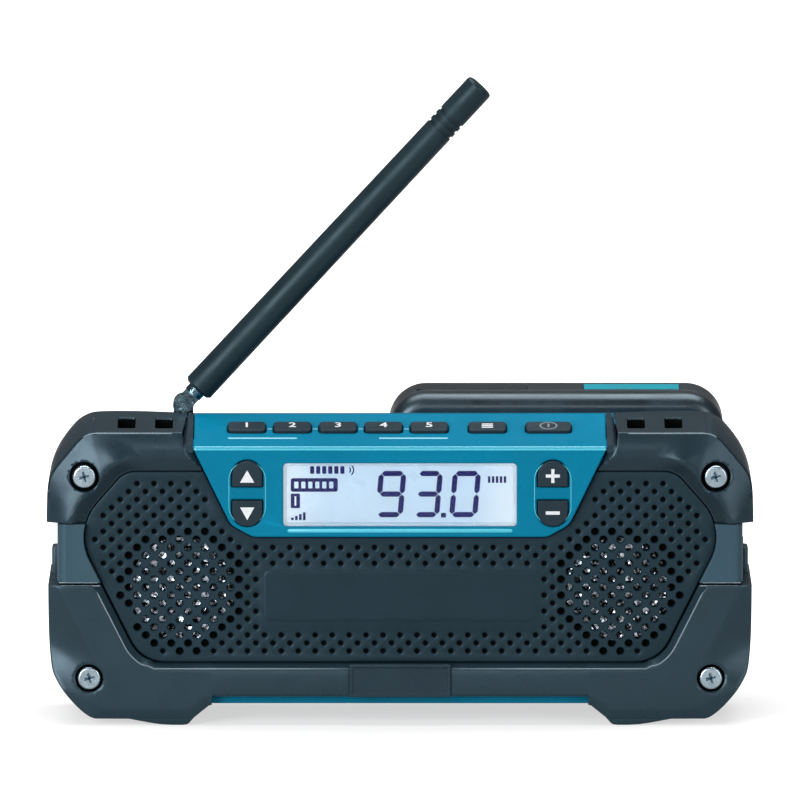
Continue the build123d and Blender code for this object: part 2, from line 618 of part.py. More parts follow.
with BuildPart() as rear_housing:
    with BuildSketch(front_plane(REAR_FRONT)):
        Polygon(*rear_outline(0, REAR_TOP_Z))
    extrude(amount=-(BODY_DEPTH - REAR_FRONT))
    top_face = rear_housing.faces().sort_by(Axis.Z)[-1]
    chamfer(top_face.edges().sort_by(Axis.Y)[-1], REAR_EDGE)
    # groove that the folded antenna lies in
    with BuildSketch(front_plane(REAR_FRONT)):
        with Locations(((GROOVE_LEFT + GROOVE_RIGHT) / 2, GROOVE_FLOOR_Z + 5)):
            Rectangle(GROOVE_RIGHT - GROOVE_LEFT, 10)
    extrude(amount=-(PIVOT_DEPTH + ROD_RADIUS + ROD_GAP - REAR_FRONT), mode=Mode.SUBTRACT)
    # hollow that continues the front housing, and a higher one behind its own front wall
    with BuildSketch(front_plane(REAR_FRONT)):
        Polygon(*core_outline(SHELL_WALL, GROOVE_FLOOR_Z - SHELL_WALL))
    extrude(amount=-(REAR_INSIDE - REAR_FRONT), mode=Mode.SUBTRACT)
    with BuildSketch(front_plane(REAR_FRONT + SHELL_WALL)):
        Polygon(*rear_outline(SHELL_WALL, GROOVE_FLOOR_Z - SHELL_WALL))
    extrude(amount=-(REAR_INSIDE - REAR_FRONT - SHELL_WALL), mode=Mode.SUBTRACT)
    # battery bay: walls, then the recess itself, open at the back and on the right
    with BuildSketch(front_plane(BAY_FLOOR - BAY_FLOOR_WALL)):
        with Locations((BAY_LEFT - SHELL_WALL, BAY_Z)):
            Rectangle(
                CORE_HALF - SHELL_WALL / 2 - BAY_LEFT + SHELL_WALL,
                BAY_TOP_Z - BAY_BOTTOM_Z + 2 * SHELL_WALL,
                align=(Align.MIN, Align.CENTER),
            )
    extrude(amount=-(BODY_DEPTH - BAY_FLOOR + BAY_FLOOR_WALL))
    with BuildSketch(front_plane(BAY_FLOOR)):
        with Locations((BAY_LEFT, BAY_Z)):
            Rectangle(
                CORE_HALF + SHELL_WALL - BAY_LEFT,
                BAY_TOP_Z - BAY_BOTTOM_Z,
                align=(Align.MIN, Align.CENTER),
            )
    extrude(amount=-(BODY_DEPTH - BAY_FLOOR), mode=Mode.SUBTRACT)
    # rails that the pack's grooves run on
    with BuildSketch(front_plane(RAIL_DEPTH + RUN_GAP)):
        for rail_z, side in ((BAY_BOTTOM_Z, Align.MIN), (BAY_TOP_Z, Align.MAX)):
            with Locations((HEAD_LEFT + 8, rail_z)):
                Rectangle(CORE_HALF - HEAD_LEFT - 8, RAIL_REACH - RUN_GAP, align=(Align.MIN, side))
    extrude(amount=-(RAIL_WIDTH - 2 * RUN_GAP))
    # pocket for the latch tooth
    with BuildSketch(front_plane(BAY_FLOOR)):
        with Locations((HEAD_RIGHT - LATCH_WIDTH, BAY_Z)):
            Rectangle(LATCH_TOOTH + 2 * RUN_GAP, LATCH_HEIGHT + 2 * RUN_GAP)
    extrude(amount=BAY_FLOOR_WALL - 1.0, mode=Mode.SUBTRACT)
    # screw bosses, counterbored from the back
    with BuildSketch(front_plane(LONG_BOSS_BACK + FIT_GAP)):
        with Locations(*REAR_SCREWS):
            Circle(SCREW_BOSS_RADIUS)
    extrude(amount=-(BODY_DEPTH - LONG_BOSS_BACK - SHELL_WALL / 2))
    with BuildSketch(front_plane(BODY_DEPTH)):
        with Locations(*REAR_SCREWS):
            Circle(REAR_HEAD_RADIUS + FIT_GAP)
    extrude(amount=4.0, mode=Mode.SUBTRACT)
    with BuildSketch(front_plane(BODY_DEPTH)):
        with Locations(*REAR_SCREWS):
            Circle(REAR_SCREW_RADIUS)
    extrude(amount=BODY_DEPTH - SPLIT_DEPTH + 2, mode=Mode.SUBTRACT)
    # shallow field with grip grooves beside the bay
    with BuildSketch(front_plane(BODY_DEPTH)):
        with Locations((REAR_FIELD_X, REAR_FIELD_Z)):
            RectangleRounded(REAR_FIELD_WIDTH, REAR_FIELD_HEIGHT, 4.0)
    extrude(amount=REAR_FIELD_DEPTH, mode=Mode.SUBTRACT)
    with BuildSketch(front_plane(BODY_DEPTH - REAR_FIELD_DEPTH)):
        with Locations((REAR_FIELD_X, REAR_FIELD_Z)):
            with GridLocations(0, REAR_GROOVE_PITCH, 1, REAR_GROOVES):
                SlotOverall(REAR_FIELD_WIDTH - 16, 1.6)
    extrude(amount=0.6, mode=Mode.SUBTRACT)
    # hole for the antenna bushing
    with BuildSketch(Plane.XY.offset(GROOVE_FLOOR_Z)):
        with Locations((PIVOT_X, FRONT_Y + PIVOT_DEPTH)):
            Circle(BARREL_RADIUS)
    extrude(amount=-SHELL_WALL, mode=Mode.SUBTRACT)
    with BuildSketch(Plane.XY.offset(GROOVE_FLOOR_Z - SHELL_WALL)):
        with Locations((PIVOT_X, FRONT_Y + PIVOT_DEPTH)):
            Circle(NUT_RADIUS + FIT_GAP)
    extrude(amount=-BARREL_LENGTH, mode=Mode.SUBTRACT)
save(rear_housing.part, "rear_housing")

with BuildPart() as housing_seal:
    with BuildSketch(front_plane(SPLIT_DEPTH)):
        Polygon(*core_outline(0.5, GROOVE_FLOOR_Z - 0.5))
        Polygon(*core_outline(1.6, GROOVE_FLOOR_Z - 1.6), mode=Mode.SUBTRACT)
    extrude(amount=-SEAM_GAP)
save(housing_seal.part, "housing_seal")

# ---- speaker grille -------------------------------------------------------------------------
grille_plate = grille_block(0, GRILLE_FRONT, GRILLE_FRONT + GRILLE_THICKNESS)
HOLE_TOP_Z = GRILLE_TOP_Z - 3.45


def open_holes():
    """Places of one diagonal lattice, alike on both sides, that lie near a speaker's axis."""
    row_count = floor((HOLE_TOP_Z - SPEAKER_Z + HOLE_FIELD_RADIUS) / HOLE_ROW_STEP) + 1
    column_count = floor((SPEAKER_X + HOLE_FIELD_RADIUS) / HOLE_PITCH) + 1
    places = []
    for row in range(row_count):
        z = HOLE_TOP_Z - row * HOLE_ROW_STEP
        for column in range(column_count):
            x = (column + (row + 1) % 2 / 2) * HOLE_PITCH
            if hypot(x - SPEAKER_X, z - SPEAKER_Z) < HOLE_FIELD_RADIUS:
                places += [(x, z), (-x, z)]
    return places


with BuildPart() as speaker_grille:
    add(grille_plate)
    add(panel_envelope, mode=Mode.SUBTRACT)
    with BuildSketch(front_plane(GRILLE_FRONT)):
        with Locations(*open_holes()):
            Circle(HOLE_RADIUS)
    extrude(amount=-GRILLE_THICKNESS, mode=Mode.SUBTRACT)
save(speaker_grille.part, "speaker_grille")

with BuildPart() as name_plate:
    with BuildSketch(front_plane(GRILLE_FRONT)):
        with Locations((0, PLATE_BOTTOM_Z + PLATE_HEIGHT / 2)):
            RectangleRounded(2 * PLATE_HALF, PLATE_HEIGHT, PLATE_MARGIN)
    extrude(amount=PLATE_THICKNESS)
    chamfer(name_plate.faces().sort_by(Axis.Y)[0].edges(), PLATE_THICKNESS / 2)
save(name_plate.part, "name_plate")


# ---- upper bumpers: a facet around the screw, a brow along the top, a strap pocket ----------
def upper_section(top, corner_rise):
    """Upper bumper's outer outline at one depth."""
    return [
        (PANEL_LOWER_HALF, UPPER_BOTTOM_Z),
        (HALF_WIDTH, UPPER_BOTTOM_Z),
        (HALF_WIDTH - 0.5, top - CORNER_HEIGHT + corner_rise),
        (HALF_WIDTH - 2.6, top - CORNER_HEIGHT + 2.7 + 1.3 * corner_rise),
        (HALF_WIDTH - CORNER_WIDTH + 7.5 + corner_rise, top - 6.6 - corner_rise / 2),
        (HALF_WIDTH - CORNER_WIDTH, top),
        (PANEL_LOWER_HALF, top),
    ]


bumper_front_top = BUMPER_TOP_Z - BUMPER_TOP_FALL
screw_facet = [
    (HALF_WIDTH - 7.7, UPPER_BOTTOM_Z + 0.7),
    (HALF_WIDTH - 1.7, UPPER_BOTTOM_Z + 0.7),
    (HALF_WIDTH - 1.9, bumper_front_top - 13.8),
    (HALF_WIDTH - 15.2, bumper_front_top - 1.7),
    (HALF_WIDTH - 19.5, bumper_front_top - 4.8),
    (HALF_WIDTH - 23.5, bumper_front_top - 8.3),
    (HALF_WIDTH - 19.0, bumper_front_top - 12.4),
]
facet_foot = [
    (HALF_WIDTH - 13.8, UPPER_BOTTOM_Z),
    (HALF_WIDTH, UPPER_BOTTOM_Z),
    (HALF_WIDTH - 0.5, bumper_front_top - CORNER_HEIGHT + 3.0),
    (HALF_WIDTH - 14.9, bumper_front_top),
    (HALF_WIDTH - 24.0, bumper_front_top - 3.6),
    (HALF_WIDTH - 30.0, bumper_front_top - 9.0),
    (HALF_WIDTH - 24.8, bumper_front_top - 13.0),
]
tab_inner_x = PANEL_TOP_HALF + SEAM_GAP
STRAP_SLOTS = [
    (HALF_WIDTH - STRAP_SLOT_INSET - i * (STRAP_SLOT_WIDTH + STRAP_BAR), 0) for i in range(2)
]
STRAP_MIDDLE = STRAP_SLOT_FRONT + STRAP_SLOT_LENGTH / 2
POCKET_OUTER_X = STRAP_SLOTS[0][0] + STRAP_SLOT_WIDTH / 2 + 2.2
POCKET_INNER_X = STRAP_SLOTS[1][0] - STRAP_SLOT_WIDTH / 2 - 0.8

with BuildPart() as upper_right_bumper:
    with BuildSketch(front_plane(FACET_FOOT)):
        Polygon(*upper_section(bumper_front_top, 3.0))
    with BuildSketch(front_plane(SPLIT_DEPTH)):
        Polygon(*upper_section(BUMPER_TOP_Z, 0.6))
    loft(ruled=True)
    with BuildSketch(front_plane(FACET_DEPTH)):
        Polygon(*screw_facet)
    with BuildSketch(front_plane(FACET_FOOT)):
        Polygon(*facet_foot)
    loft(ruled=True)
    # brow that overhangs the grille, hollowed towards it
    with BuildSketch(Plane.YZ.offset(BUMPER_END_X)):
        with BuildLine():
            Polyline(
                (FRONT_Y + FACET_FOOT + 1, bumper_front_top),
                (FRONT_Y + BROW_DEPTH, bumper_front_top - 0.4),
                (FRONT_Y + BROW_DEPTH, bumper_front_top - 1.2),
            )
            RadiusArc(
                (FRONT_Y + BROW_DEPTH, bumper_front_top - 1.2),
                (FRONT_Y + FACET_FOOT, bumper_front_top - BROW_HEIGHT),
                14,
            )
            Polyline(
                (FRONT_Y + FACET_FOOT, bumper_front_top - BROW_HEIGHT),
                (FRONT_Y + FACET_FOOT + 1, bumper_front_top - BROW_HEIGHT),
                (FRONT_Y + FACET_FOOT + 1, bumper_front_top),
            )
        make_face()
    extrude(amount=HALF_WIDTH - CORNER_WIDTH - BUMPER_END_X)
    add(core_envelope, mode=Mode.SUBTRACT)
    add(grille_envelope, mode=Mode.SUBTRACT)
    add(panel_envelope, mode=Mode.SUBTRACT)
    # inner end: a low strip beside the panel, parted from the bumper by a groove
    with BuildSketch(front_plane(0)):
        with Locations((tab_inner_x, PANEL_CREASE_Z)):
            Rectangle(tab_inner_x, BUMPER_TOP_Z, align=(Align.MAX, Align.MIN))
    extrude(amount=-(SPLIT_DEPTH + 1), mode=Mode.SUBTRACT)
    for level, left in (
        (TAB_PROUD, tab_inner_x - 1),
        (TAB_PROUD - TAB_GROOVE_DEPTH, BUMPER_END_X - TAB_GROOVE_WIDTH),
    ):
        with BuildSketch(SLOPE.offset(level)):
            with Locations((BUMPER_END_X, TOP_KEY_UP)):
                Rectangle(BUMPER_END_X - left, 2 * SPLIT_DEPTH, align=(Align.MAX, Align.CENTER))
        extrude(amount=BUMPER_ROOF * 4, mode=Mode.SUBTRACT)
    # strap pocket and its two slots
    with BuildSketch(Plane.YZ.offset(POCKET_INNER_X)):
        Polygon(
            (FRONT_Y + STRAP_SLOT_FRONT - 1, POCKET_FLOOR_Z - FIT_GAP),
            (FRONT_Y + STRAP_SLOT_FRONT - 1, bumper_front_top - BUMPER_ROOF + 0.6),
            (FRONT_Y + SPLIT_DEPTH - SHELL_WALL, BUMPER_TOP_Z - BUMPER_ROOF),
            (FRONT_Y + SPLIT_DEPTH - SHELL_WALL, POCKET_FLOOR_Z - FIT_GAP),
        )
    extrude(amount=POCKET_OUTER_X - POCKET_INNER_X, mode=Mode.SUBTRACT)
    with BuildSketch(Plane.XY.offset(BUMPER_TOP_Z + 1)):
        for slot_x, _ in STRAP_SLOTS:
            with Locations((slot_x, FRONT_Y + STRAP_MIDDLE)):
                RectangleRounded(STRAP_SLOT_WIDTH, STRAP_SLOT_LENGTH, 0.8)
    extrude(amount=POCKET_FLOOR_Z - BUMPER_TOP_Z, mode=Mode.SUBTRACT)
    # screw seat and hole
    with BuildSketch(front_plane(-1)):
        with Locations((UPPER_SCREW_X, UPPER_SCREW_Z)):
            Circle(SCREW_SEAT_RADIUS)
    extrude(amount=-(SCREW_HEAD_DEPTH + SCREW_HEAD_HEIGHT + 1), mode=Mode.SUBTRACT)
    with BuildSketch(front_plane(0)):
        with Locations((UPPER_SCREW_X, UPPER_SCREW_Z)):
            Circle(SCREW_RADIUS + FIT_GAP)
    extrude(amount=-CORE_FRONT, mode=Mode.SUBTRACT)
save(upper_right_bumper.part, "upper_right_bumper")
save_mirrored(upper_right_bumper.part, "upper_left_bumper")

# ---- lower bumper: two legs joined by the centre bar ----------------------------------------
leg_outline = [
    (LEG_HALF, BAR_BOTTOM_Z),
    (LEG_HALF, CORE_BOTTOM_Z),
    (LEG_HALF + LEG_SLOPE_WIDTH, FOOT_HEIGHT),
    (HALF_WIDTH - 14.6, FOOT_HEIGHT),
    (HALF_WIDTH - 9.0, FOOT_HEIGHT + 4.2),
    (HALF_WIDTH - 4.9, FOOT_HEIGHT + 8.6),
    (HALF_WIDTH - 1.9, FOOT_HEIGHT + 14.0),
    (HALF_WIDTH - 0.5, LOWER_TOP_Z),
]
leg_facet = [
    (LEG_HALF + 1.2, BAR_BOTTOM_Z + 0.6),
    (LEG_HALF + 1.2, CORE_BOTTOM_Z + 0.6),
    (LEG_HALF + LEG_SLOPE_WIDTH + 1.0, FOOT_HEIGHT + 1.6),
    (HALF_WIDTH - 16.0, FOOT_HEIGHT + 1.8),
    (HALF_WIDTH - 10.6, FOOT_HEIGHT + 5.6),
    (HALF_WIDTH - 7.6, FOOT_HEIGHT + 9.6),
    (HALF_WIDTH - 10.5, FOOT_HEIGHT + 18.0),
    (HALF_WIDTH - 3.4, LOWER_TOP_Z - 1.6),
]
leg_inner = [(-20.0 + LEG_HALF, LOWER_TOP_Z), (-20.0 + LEG_HALF, BAR_BOTTOM_Z)]
leg_inner_facet = [(-20.0 + LEG_HALF, LOWER_TOP_Z - 1.6), (-20.0 + LEG_HALF, BAR_BOTTOM_Z + 0.6)]
bar_top_z = GRILLE_BOTTOM_Z - FIT_GAP

with BuildPart() as lower_right_leg:
    with BuildSketch(front_plane(0)):
        Polygon(*(leg_facet + leg_inner_facet))
    with BuildSketch(front_plane(LOWER_FACET_FOOT)):
        Polygon(*(leg_outline + leg_inner))
    loft(ruled=True)
    with BuildSketch(front_plane(LOWER_FACET_FOOT)):
        Polygon(*(leg_outline + leg_inner))
    extrude(amount=-(BODY_DEPTH - LOWER_FACET_FOOT))
    # cheek that rises behind the side panel
    with BuildSketch(Plane.XY.offset(LOWER_TOP_Z - 1)):
        with Locations((CORE_HALF + FIT_GAP, FRONT_Y + CHEEK_FRONT)):
            Rectangle(
                SIDE_WALL - FIT_GAP - 1.0,
                CHEEK_BACK - CHEEK_FRONT,
                align=(Align.MIN, Align.MIN),
            )
    extrude(amount=CHEEK_TOP_Z - LOWER_TOP_Z + 1)
    # inner edge, drawn back a little from the grille
    with BuildSketch(front_plane(-1)):
        with Locations((0, bar_top_z)):
            Rectangle(
                2 * LEG_HALF,
                LOWER_TOP_Z,
                align=(Align.CENTER, Align.MIN),
            )
    extrude(amount=-(CORE_FRONT + 1), mode=Mode.SUBTRACT)

with BuildPart() as lower_bumper:
    add(lower_right_leg.part)
    mirror(lower_right_leg.part, about=Plane.YZ)
    # centre bar with its sloping front
    with BuildSketch(Plane.YZ.offset(-LEG_HALF)):
        Polygon(
            (FRONT_Y + CORE_FRONT - FIT_GAP, BAR_BOTTOM_Z),
            (FRONT_Y + BAR_FRONT + 1.6, BAR_BOTTOM_Z),
            (FRONT_Y + BAR_FRONT, BAR_BOTTOM_Z + 1.6),
            (FRONT_Y + BAR_FRONT, bar_top_z - 1.2),
            (FRONT_Y + BAR_FRONT + 1.2, bar_top_z),
            (FRONT_Y + CORE_FRONT - FIT_GAP, bar_top_z),
        )
    extrude(amount=2 * LEG_HALF)
    add(core_envelope, mode=Mode.SUBTRACT)
    add(grille_envelope, mode=Mode.SUBTRACT)
    # seat for the centre badge
    with BuildSketch(front_plane(-1)):
        with Locations((0, BAR_BOTTOM_Z)):
            Rectangle(
                2 * (BADGE_HALF + FIT_GAP),
                bar_top_z - BAR_BOTTOM_Z,
                align=(Align.CENTER, Align.MIN),
            )
    extrude(amount=-(BADGE_BACK + 1), mode=Mode.SUBTRACT)
    with BuildSketch(front_plane(-1)):
        with Locations(*FRONT_SCREWS[2:]):
            Circle(SCREW_SEAT_RADIUS - 0.2)
    extrude(amount=-(SCREW_HEAD_DEPTH + SCREW_HEAD_HEIGHT + 1), mode=Mode.SUBTRACT)
    with BuildSketch(front_plane(0)):
        with Locations(*FRONT_SCREWS[2:]):
            Circle(SCREW_RADIUS + FIT_GAP)
    extrude(amount=-CORE_FRONT, mode=Mode.SUBTRACT)
save(lower_bumper.part, "lower_bumper")

with BuildPart() as centre_badge:
    with BuildSketch(front_plane(BADGE_FRONT)):
        with Locations((0, BAR_BOTTOM_Z)):
            Rectangle(
                2 * BADGE_HALF, bar_top_z - BAR_BOTTOM_Z, align=(Align.CENTER, Align.MIN)
            )
    extrude(amount=-(BADGE_BACK - BADGE_FRONT))
    with BuildSketch(front_plane(BADGE_FRONT)):
        with Locations((0, (BAR_BOTTOM_Z + bar_top_z) / 2)):
            Rectangle(
                2 * (BADGE_HALF - BADGE_RIM), bar_top_z - BAR_BOTTOM_Z - 2 * BADGE_RIM
            )
    extrude(amount=-BADGE_RECESS, mode=Mode.SUBTRACT)
save(centre_badge.part, "centre_badge")

FOOT_X = HALF_WIDTH - FOOT_OUTER_INSET - FOOT_LENGTH / 2
FOOT_PLACES = [
    (side * FOOT_X, FRONT_Y + depth + FOOT_WIDTH / 2)
    for side in (-1, 1)
    for depth in (FRONT_FOOT_DEPTH, REAR_FOOT_DEPTH)
]
with BuildPart() as feet:
    with BuildSketch(Plane.XY):
        with Locations(*FOOT_PLACES):
            RectangleRounded(FOOT_LENGTH, FOOT_WIDTH, 3.0)
    extrude(amount=FOOT_HEIGHT)
    chamfer(feet.faces().filter_by(Plane.XY).group_by(Axis.Z)[0].edges(), 0.7)
save(feet.part, "feet")

# ---- side panels ----------------------------------------------------------------------------
side_outer_x = HALF_WIDTH - SIDE_PANEL_INSET
side_outline = [
    (side_outer_x - 16, LOWER_TOP_Z + PANEL_SEAM),
    (side_outer_x, LOWER_TOP_Z + PANEL_SEAM),
    (side_outer_x, UPPER_BOTTOM_Z - PANEL_SEAM),
    (side_outer_x - 16, UPPER_BOTTOM_Z - PANEL_SEAM),
]
with BuildPart() as left_panel_blank:
    with BuildSketch(front_plane(SIDE_PANEL_FRONT)):
        Polygon(*[(-x, z) for x, z in side_outline])
    extrude(amount=-(SPLIT_DEPTH - SIDE_PANEL_FRONT))
    front_corner = left_panel_blank.edges().filter_by(Axis.Z).group_by(Axis.Y)[0]
    fillet(front_corner.sort_by(Axis.X)[0], 3.0)
    add(core_envelope, mode=Mode.SUBTRACT)
    add(grille_envelope, mode=Mode.SUBTRACT)
save(left_panel_blank.part, "left_side_panel")

cover_y = FRONT_Y + JACK_DEPTH
with BuildPart() as right_side_panel:
    mirror(left_panel_blank.part, about=Plane.YZ)
    # recess for the socket's cover, and the hole for the socket
    with BuildSketch(Plane.YZ.offset(side_outer_x)):
        with Locations((cover_y, JACK_Z)):
            RectangleRounded(
                COVER_WIDTH + 2 * RUN_GAP, COVER_HEIGHT + 2 * RUN_GAP, 1.5 + RUN_GAP
            )
    extrude(amount=-(COVER_THICKNESS + FIT_GAP), mode=Mode.SUBTRACT)
    with BuildSketch(Plane.YZ.offset(side_outer_x)):
        with Locations((cover_y, JACK_Z)):
            Circle(JACK_BARREL_RADIUS + FIT_GAP)
    extrude(amount=-SIDE_WALL, mode=Mode.SUBTRACT)
save(right_side_panel.part, "right_side_panel")

# ---- display stack --------------------------------------------------------------------------
window_front = PANEL_FRONT + WINDOW_RECESS
window_back = PANEL_FRONT + SHELL_WALL + FLANGE_THICKNESS
STACK_WIDTH = WINDOW_WIDTH + 2 * WINDOW_FLANGE
STACK_HEIGHT = WINDOW_HEIGHT + 2 * WINDOW_FLANGE
with BuildPart() as lcd_window:
    with BuildSketch(front_plane(window_front)):
        with Locations((0, WINDOW_Z)):
            RectangleRounded(WINDOW_WIDTH, WINDOW_HEIGHT, 1.0)
    extrude(amount=-(window_back - window_front))
    with BuildSketch(front_plane(window_back)):
        with Locations((0, WINDOW_Z)):
            Rectangle(STACK_WIDTH, STACK_HEIGHT)
    extrude(amount=FLANGE_THICKNESS)
save(lcd_window.part, "lcd_window")

with BuildPart() as lcd_panel:
    with BuildSketch(front_plane(window_back)):
        with Locations((0, WINDOW_Z)):
            Rectangle(STACK_WIDTH, STACK_HEIGHT)
    extrude(amount=-LCD_THICKNESS)
save(lcd_panel.part, "lcd_panel")

with BuildPart() as lcd_light_guide:
    with BuildSketch(front_plane(window_back + LCD_THICKNESS)):
        with Locations((0, WINDOW_Z)):
            Rectangle(STACK_WIDTH, STACK_HEIGHT)
    extrude(amount=-LIGHT_GUIDE_THICKNESS)
    with BuildSketch(front_plane(window_back + LCD_THICKNESS + LIGHT_GUIDE_THICKNESS)):
        with Locations((-WINDOW_WIDTH / 2 + 4, WINDOW_Z), (WINDOW_WIDTH / 2 - 4, WINDOW_Z)):
            Circle(1.5)
    extrude(amount=-(BOARD_FRONT - window_back - LCD_THICKNESS - LIGHT_GUIDE_THICKNESS))
save(lcd_light_guide.part, "lcd_light_guide")

# ---- boards and switches --------------------------------------------------------------------
board_top_z = PANEL_CREASE_Z - BOARD_TOP_DROP
with BuildPart() as main_board:
    with BuildSketch(front_plane(BOARD_FRONT)):
        Polygon(
            *both_sides(
                [
                    (BOARD_LOWER_HALF, BOARD_BOTTOM_Z),
                    (BOARD_LOWER_HALF, BOARD_STEP_Z),
                    (BOARD_UPPER_HALF, BOARD_STEP_Z),
                    (BOARD_UPPER_HALF, board_top_z),
                ]
            )
        )
        with Locations(*BOARD_SCREWS):
            Circle(SMALL_SCREW_RADIUS, mode=Mode.SUBTRACT)
    extrude(amount=-BOARD_THICKNESS)
save(main_board.part, "main_board")

board_middle_z = (BOARD_BOTTOM_Z + BOARD_STEP_Z) / 2
board_reach_z = (BOARD_STEP_Z - BOARD_BOTTOM_Z) / 2
plug_z = (BOARD_STEP_Z + board_top_z) / 2 - 2.0


def on_board(across, up):
    """A place on the board's lower part, as shares of its half width and half height."""
    return (across * BOARD_LOWER_HALF, board_middle_z + up * board_reach_z)


with BuildPart() as board_components:
    board_back = front_plane(BOARD_BACK)
    with BuildSketch(board_back):
        with Locations(on_board(-0.48, 0.07)):
            Rectangle(AMPLIFIER_WIDTH, AMPLIFIER_LENGTH)
    extrude(amount=-AMPLIFIER_HEIGHT)
    with BuildSketch(board_back):
        with Locations(on_board(0.17, 0.32)):
            Rectangle(CHIP_SIZE, CHIP_SIZE)
        with Locations(on_board(0.6, -0.5)):
            Rectangle(MEMORY_WIDTH, MEMORY_LENGTH)
    extrude(amount=-CHIP_HEIGHT)
    with BuildSketch(board_back):
        with Locations(on_board(0.17, -0.5), on_board(0.65, 0.42), on_board(-0.22, -0.7)):
            Circle(CAPACITOR_RADIUS)
    extrude(amount=-CAPACITOR_HEIGHT)
    with BuildSketch(board_back):
        with Locations(*[(share * BOARD_UPPER_HALF, plug_z) for share in (-0.71, -0.36, 0.71)]):
            Rectangle(PLUG_WIDTH, PLUG_LENGTH)
    extrude(amount=-PLUG_HEIGHT)
save(board_components.part, "board_components")

with BuildPart() as rocker_switches:
    for _, key_x, key_z, way in FRONT_KEYS:
        key_middle = key_z + way * FRONT_KEY_STRAIGHT
        with BuildSketch(front_plane(SWITCH_FRONT)):
            with Locations((key_x, key_middle)):
                RectangleRounded(SWITCH_SIZE, SWITCH_SIZE, 0.5)
        extrude(amount=-SWITCH_HEIGHT)
        with BuildSketch(front_plane(SWITCH_FRONT)):
            with Locations((key_x, key_middle)):
                Circle(PLUNGER_RADIUS)
        extrude(amount=PLUNGER_HEIGHT)
save(rocker_switches.part, "rocker_switches")

with BuildPart() as key_board:
    with BuildSketch(SLOPE.offset(-KEY_BOARD_TOP)):
        with Locations((0, TOP_KEY_UP)):
            Rectangle(2 * KEY_BOARD_HALF, KEY_BOARD_LENGTH)
    extrude(amount=-BOARD_THICKNESS)
save(key_board.part, "key_board")

with BuildPart() as key_switches:
    for _, key_x, _ in TOP_KEYS:
        with BuildSketch(SLOPE.offset(-KEY_BOARD_TOP)):
            with Locations((key_x, TOP_KEY_UP)):
                RectangleRounded(SWITCH_SIZE, SWITCH_SIZE, 0.5)
        extrude(amount=SWITCH_HEIGHT)
        with BuildSketch(SLOPE.offset(-TOP_SWITCH_TOP)):
            with Locations((key_x, TOP_KEY_UP)):
                Circle(PLUNGER_RADIUS)
        extrude(amount=PLUNGER_HEIGHT)
save(key_switches.part, "key_switches")


def screw_set(places, head_plane, head_radius, head_height, shank_radius, length, cross=True):
    """Screws whose heads lie on the inner side of a plane and whose shanks go further in."""
    with BuildPart() as screws:
        with BuildSketch(head_plane):
            with Locations(*places):
                Circle(head_radius)
        extrude(amount=-head_height)
        rims = screws.edges().filter_by(GeomType.CIRCLE)
        outer = rims.sort_by(lambda edge: head_plane.to_local_coords(edge.center()).Z)
        fillet(outer[-len(places) :], min(0.35 * head_height, 0.35 * head_radius))
        with BuildSketch(head_plane.offset(-head_height)):
            with Locations(*places):
                Circle(shank_radius)
        extrude(amount=-(length - head_height))
        if cross:
            with BuildSketch(head_plane):
                with Locations(*places):
                    Rectangle(CROSS_LENGTH, CROSS_WIDTH)
                    Rectangle(CROSS_WIDTH, CROSS_LENGTH)
            extrude(amount=-CROSS_DEPTH, mode=Mode.SUBTRACT)
    return screws.part


save(
    screw_set(
        [(x, z) for x, z in BOARD_SCREWS],
        Plane(origin=at(0, BOARD_BACK + SMALL_HEAD_HEIGHT, 0), x_dir=(-1, 0, 0), z_dir=(0, 1, 0)),
        SMALL_HEAD_RADIUS,
        SMALL_HEAD_HEIGHT,
        SMALL_SCREW_RADIUS,
        SMALL_SCREW_LENGTH,
        cross=False,
    ),
    "board_screws",
)
save(
    screw_set(
        FRONT_SCREWS,
        front_plane(SCREW_HEAD_DEPTH),
        SCREW_HEAD_RADIUS,
        SCREW_HEAD_HEIGHT,
        SCREW_RADIUS,
        FRONT_SCREW_LENGTH,
    ),
    "front_screws",
)
rear_head_plane = Plane(origin=at(0, BODY_DEPTH - 1.6, 0), x_dir=(-1, 0, 0), z_dir=(0, 1, 0))
save(
    screw_set(
        [(-x, z) for x, z in REAR_SCREWS],
        rear_head_plane,
        REAR_HEAD_RADIUS,
        2.4,
        REAR_SCREW_RADIUS,
        REAR_SCREW_LENGTH,
    ),
    "rear_screws",
)


# ---- speakers -------------------------------------------------------------------------------
def ring_profile(side, points):
    """A solid of revolution about a speaker's axis, from (radius, depth) points."""
    with BuildPart() as turned:
        with BuildSketch(Plane.XY.offset(SPEAKER_Z)):
            Polygon(*[(side * SPEAKER_X + radius, FRONT_Y + depth) for radius, depth in points])
        revolve(axis=Axis(at(side * SPEAKER_X, 0, SPEAKER_Z), (0, 1, 0)))
    return turned.part


